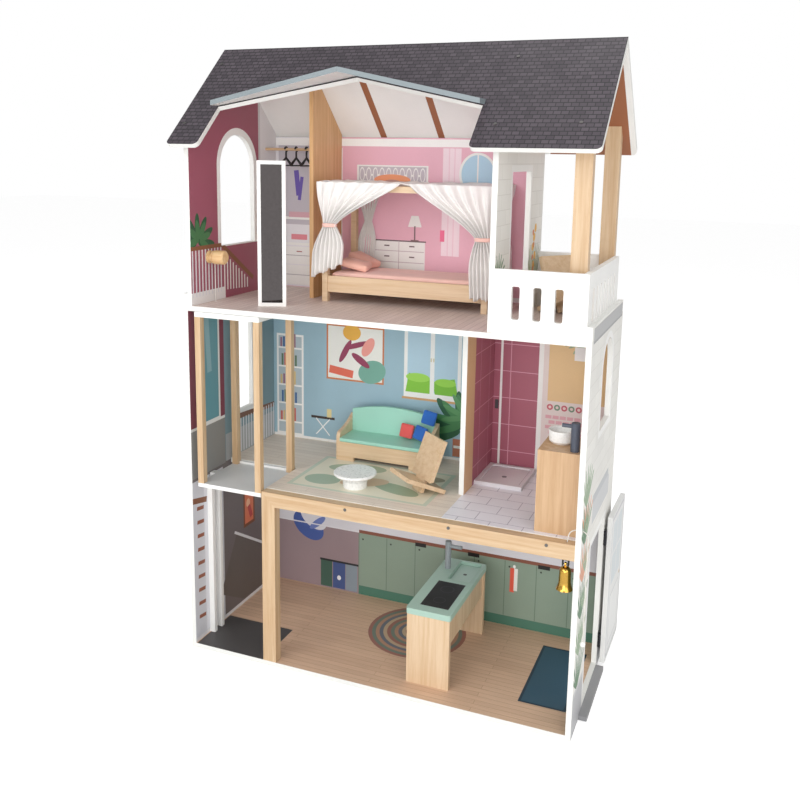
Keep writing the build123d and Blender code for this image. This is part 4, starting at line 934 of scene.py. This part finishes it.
def tied_drop(side, front, top_inner, tie, gather, skirt, hem, cut_width):
    """A gathered drop: wide along the rail, bunched at the tie, and a full pouch below it.

    Its pleats are as deep as the cut width needs, wherever the drop is narrower than that.
    """
    outer = bed_low[0] - 0.010 if side < 0 else bed_high[0] + 0.008
    rail_y = bed_low[1] - 0.005 if front else bed_high[1] + 0.004
    direction = -1 if front else 1
    top = RAIL_TOP + 0.006
    tie_x, tie_z = tie
    tie_level = 0.62

    def shape(u, v):
        bunch_x = tie_x - side * (u - 0.5) * gather
        pleat = math.sin(2 * math.pi * FOLDS * u + 0.9 * math.sin(5 * u + 3 * v) + side)
        if v < tie_level:
            t = v / tie_level
            x_top = outer + u * (top_inner - outer)
            x = x_top + (bunch_x - x_top) * (0.4 * ease(t) + 0.6 * t) ** (1.0 + 0.35 * u)
            z = top + (tie_z - top) * t ** (1.0 + 0.35 * u)
            swell = 0.004 * math.sin(math.pi * t)
            across = abs(top_inner - outer) * (1 - t) + gather * t
        else:
            t = (v - tie_level) / (1 - tie_level)
            flare = math.sin(math.pi / 2 * min(1, t * 1.7)) - 0.12 * max(0, t - 0.6)
            centre = tie_x + side * 0.006 * t
            x = bunch_x + (centre - side * (u - 0.5) * skirt - bunch_x) * flare
            z = tie_z - t * (hem[0] + (hem[1] - hem[0]) * u) - 0.003 * math.sin(u * 19) * t
            swell = 0.004 * math.sin(math.pi * u) * flare
            across = gather + (skirt - gather) * flare
        pleat_depth = math.sqrt(max(0, cut_width ** 2 - across ** 2)) / (4 * FOLDS)
        forward = swell + max(0, pleat_depth - 0.003)
        return Vector((x, rail_y + direction * forward + pleat_depth * pleat, z))

    return shape


FRONT_CUT = (0.180, 0.240)             # width along the rail and length, before it was hung
BACK_CUT = (0.085, 0.175)
LEFT_TIE, RIGHT_TIE = (-0.163, 0.886), (0.157, 0.872)   # across the house and up
for name, side, front, inner, tie, gather, skirt, hem, cut in (
    ("drop_front_left", -1, True, -0.012, LEFT_TIE, 0.026, 0.070, (0.107, 0.078), FRONT_CUT),
    ("drop_front_right", 1, True, 0.004, RIGHT_TIE, 0.026, 0.062, (0.112, 0.116), FRONT_CUT),
    ("drop_back_left", -1, False, -0.115, (-0.150, 0.884), 0.018, 0.042, (0.084, 0.080), BACK_CUT),
    ("drop_back_right", 1, False, 0.105, (0.146, 0.884), 0.018, 0.042, (0.084, 0.080), BACK_CUT),
):
    drop = fold_sheet(name, 112, 60, tied_drop(side, front, inner, tie, gather, skirt, hem, cut[0]))
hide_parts("curtains")

# Peach ribbons round the gathers, each a flattened ring with a small knot.
for n, (x, z) in enumerate((LEFT_TIE, RIGHT_TIE)):
    bpy.ops.object.select_all(action="DESELECT")
    bpy.ops.mesh.primitive_torus_add(
        location=(x, bed_low[1] - 0.009, z), major_radius=0.0145, minor_radius=0.0018,
        major_segments=40, minor_segments=10)
    ribbon = bpy.context.object
    ribbon.name = f"ribbon_{n}"
    ribbon.scale = (1.0, 0.60, 2.2)
    bpy.ops.object.transform_apply(location=True, rotation=True, scale=True)
    bpy.ops.object.shade_smooth()
    ribbon.data.materials.append(peach_cotton)
    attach(ribbon, "bed")

# ---- Sofa and cushions ----
# Birch arms and front board, a mint painted seat and an arched mint back; one coral and
# two blue cotton cushions.
dress("sofa_frame", birch_across)
mint_paint = painted("mint_paint", ink(160, 212, 194))
dress("sofa_seat", mint_paint)
dress("sofa_back", mint_paint)
puff("cushion_red", 0.0015, 0.003, cloth("coral_cotton", ink(226, 92, 90)), "cushions")
puff("cushions_blue", 0.0015, 0.003, cloth("blue_cotton", ink(44, 104, 190)), "cushions")

# ---- Table and lounge chairs ----
# A white moulded round table, and two chairs that are each a pair of slotted birch boards.
white_plastic = metal("white_plastic", ink(242, 242, 240), 0.3, 0.0)
dress("round_table", white_plastic)
dress("lounge_chair_1", birch_across)
dress("lounge_chair_2", birch_across)

# ---- Kitchen island ----
# Birch ends and aprons, a mint worktop with a printed black hob and a let-in sink, and a
# grey moulded faucet.
dress("island_frame", birch_upright)
dress("island_worktop", printed_board("worktop", ink(168, 198, 184), {"+Z": (ink(176, 205, 192), [
    (ink(16, 16, 20), 114, 120, 29, 55), (ink(60, 60, 66), 114, 96, 12, 12, 0, 1),
    (ink(18, 18, 22), 114, 96, 11, 11, 0, 1), (ink(60, 60, 66), 114, 144, 14, 14, 0, 1),
    (ink(18, 18, 22), 114, 144, 13, 13, 0, 1), (ink(120, 150, 140), 122.5, 234.5, 23, 44),
    (ink(186, 212, 202), 122.5, 234.5, 22, 43), (ink(70, 80, 80), 122.5, 234.5, 4, 4, 0, 1)])}))
grey_plastic = metal("grey_plastic", ink(78, 84, 98), 0.35, 0.0)
dress("island_faucet", metal("faucet_plastic", ink(146, 152, 156), 0.35, 0.0))

# ---- Bathroom vanity ----
# A birch cabinet with a shelf, a white vessel basin and a grey tap.
dress("vanity_cabinet", timber("vanity_birch", "Z", ink(206, 172, 134), ink(188, 150, 110)))
dress("vanity_basin", white_plastic)
dress("vanity_tap", grey_plastic)

# ---- Standing mirror ----
# A white rebated frame with mirror film behind a dark tint.
mirror_film = metal("mirror_film", ink(52, 49, 49), 0.05)
dress("mirror_glass", mirror_film)
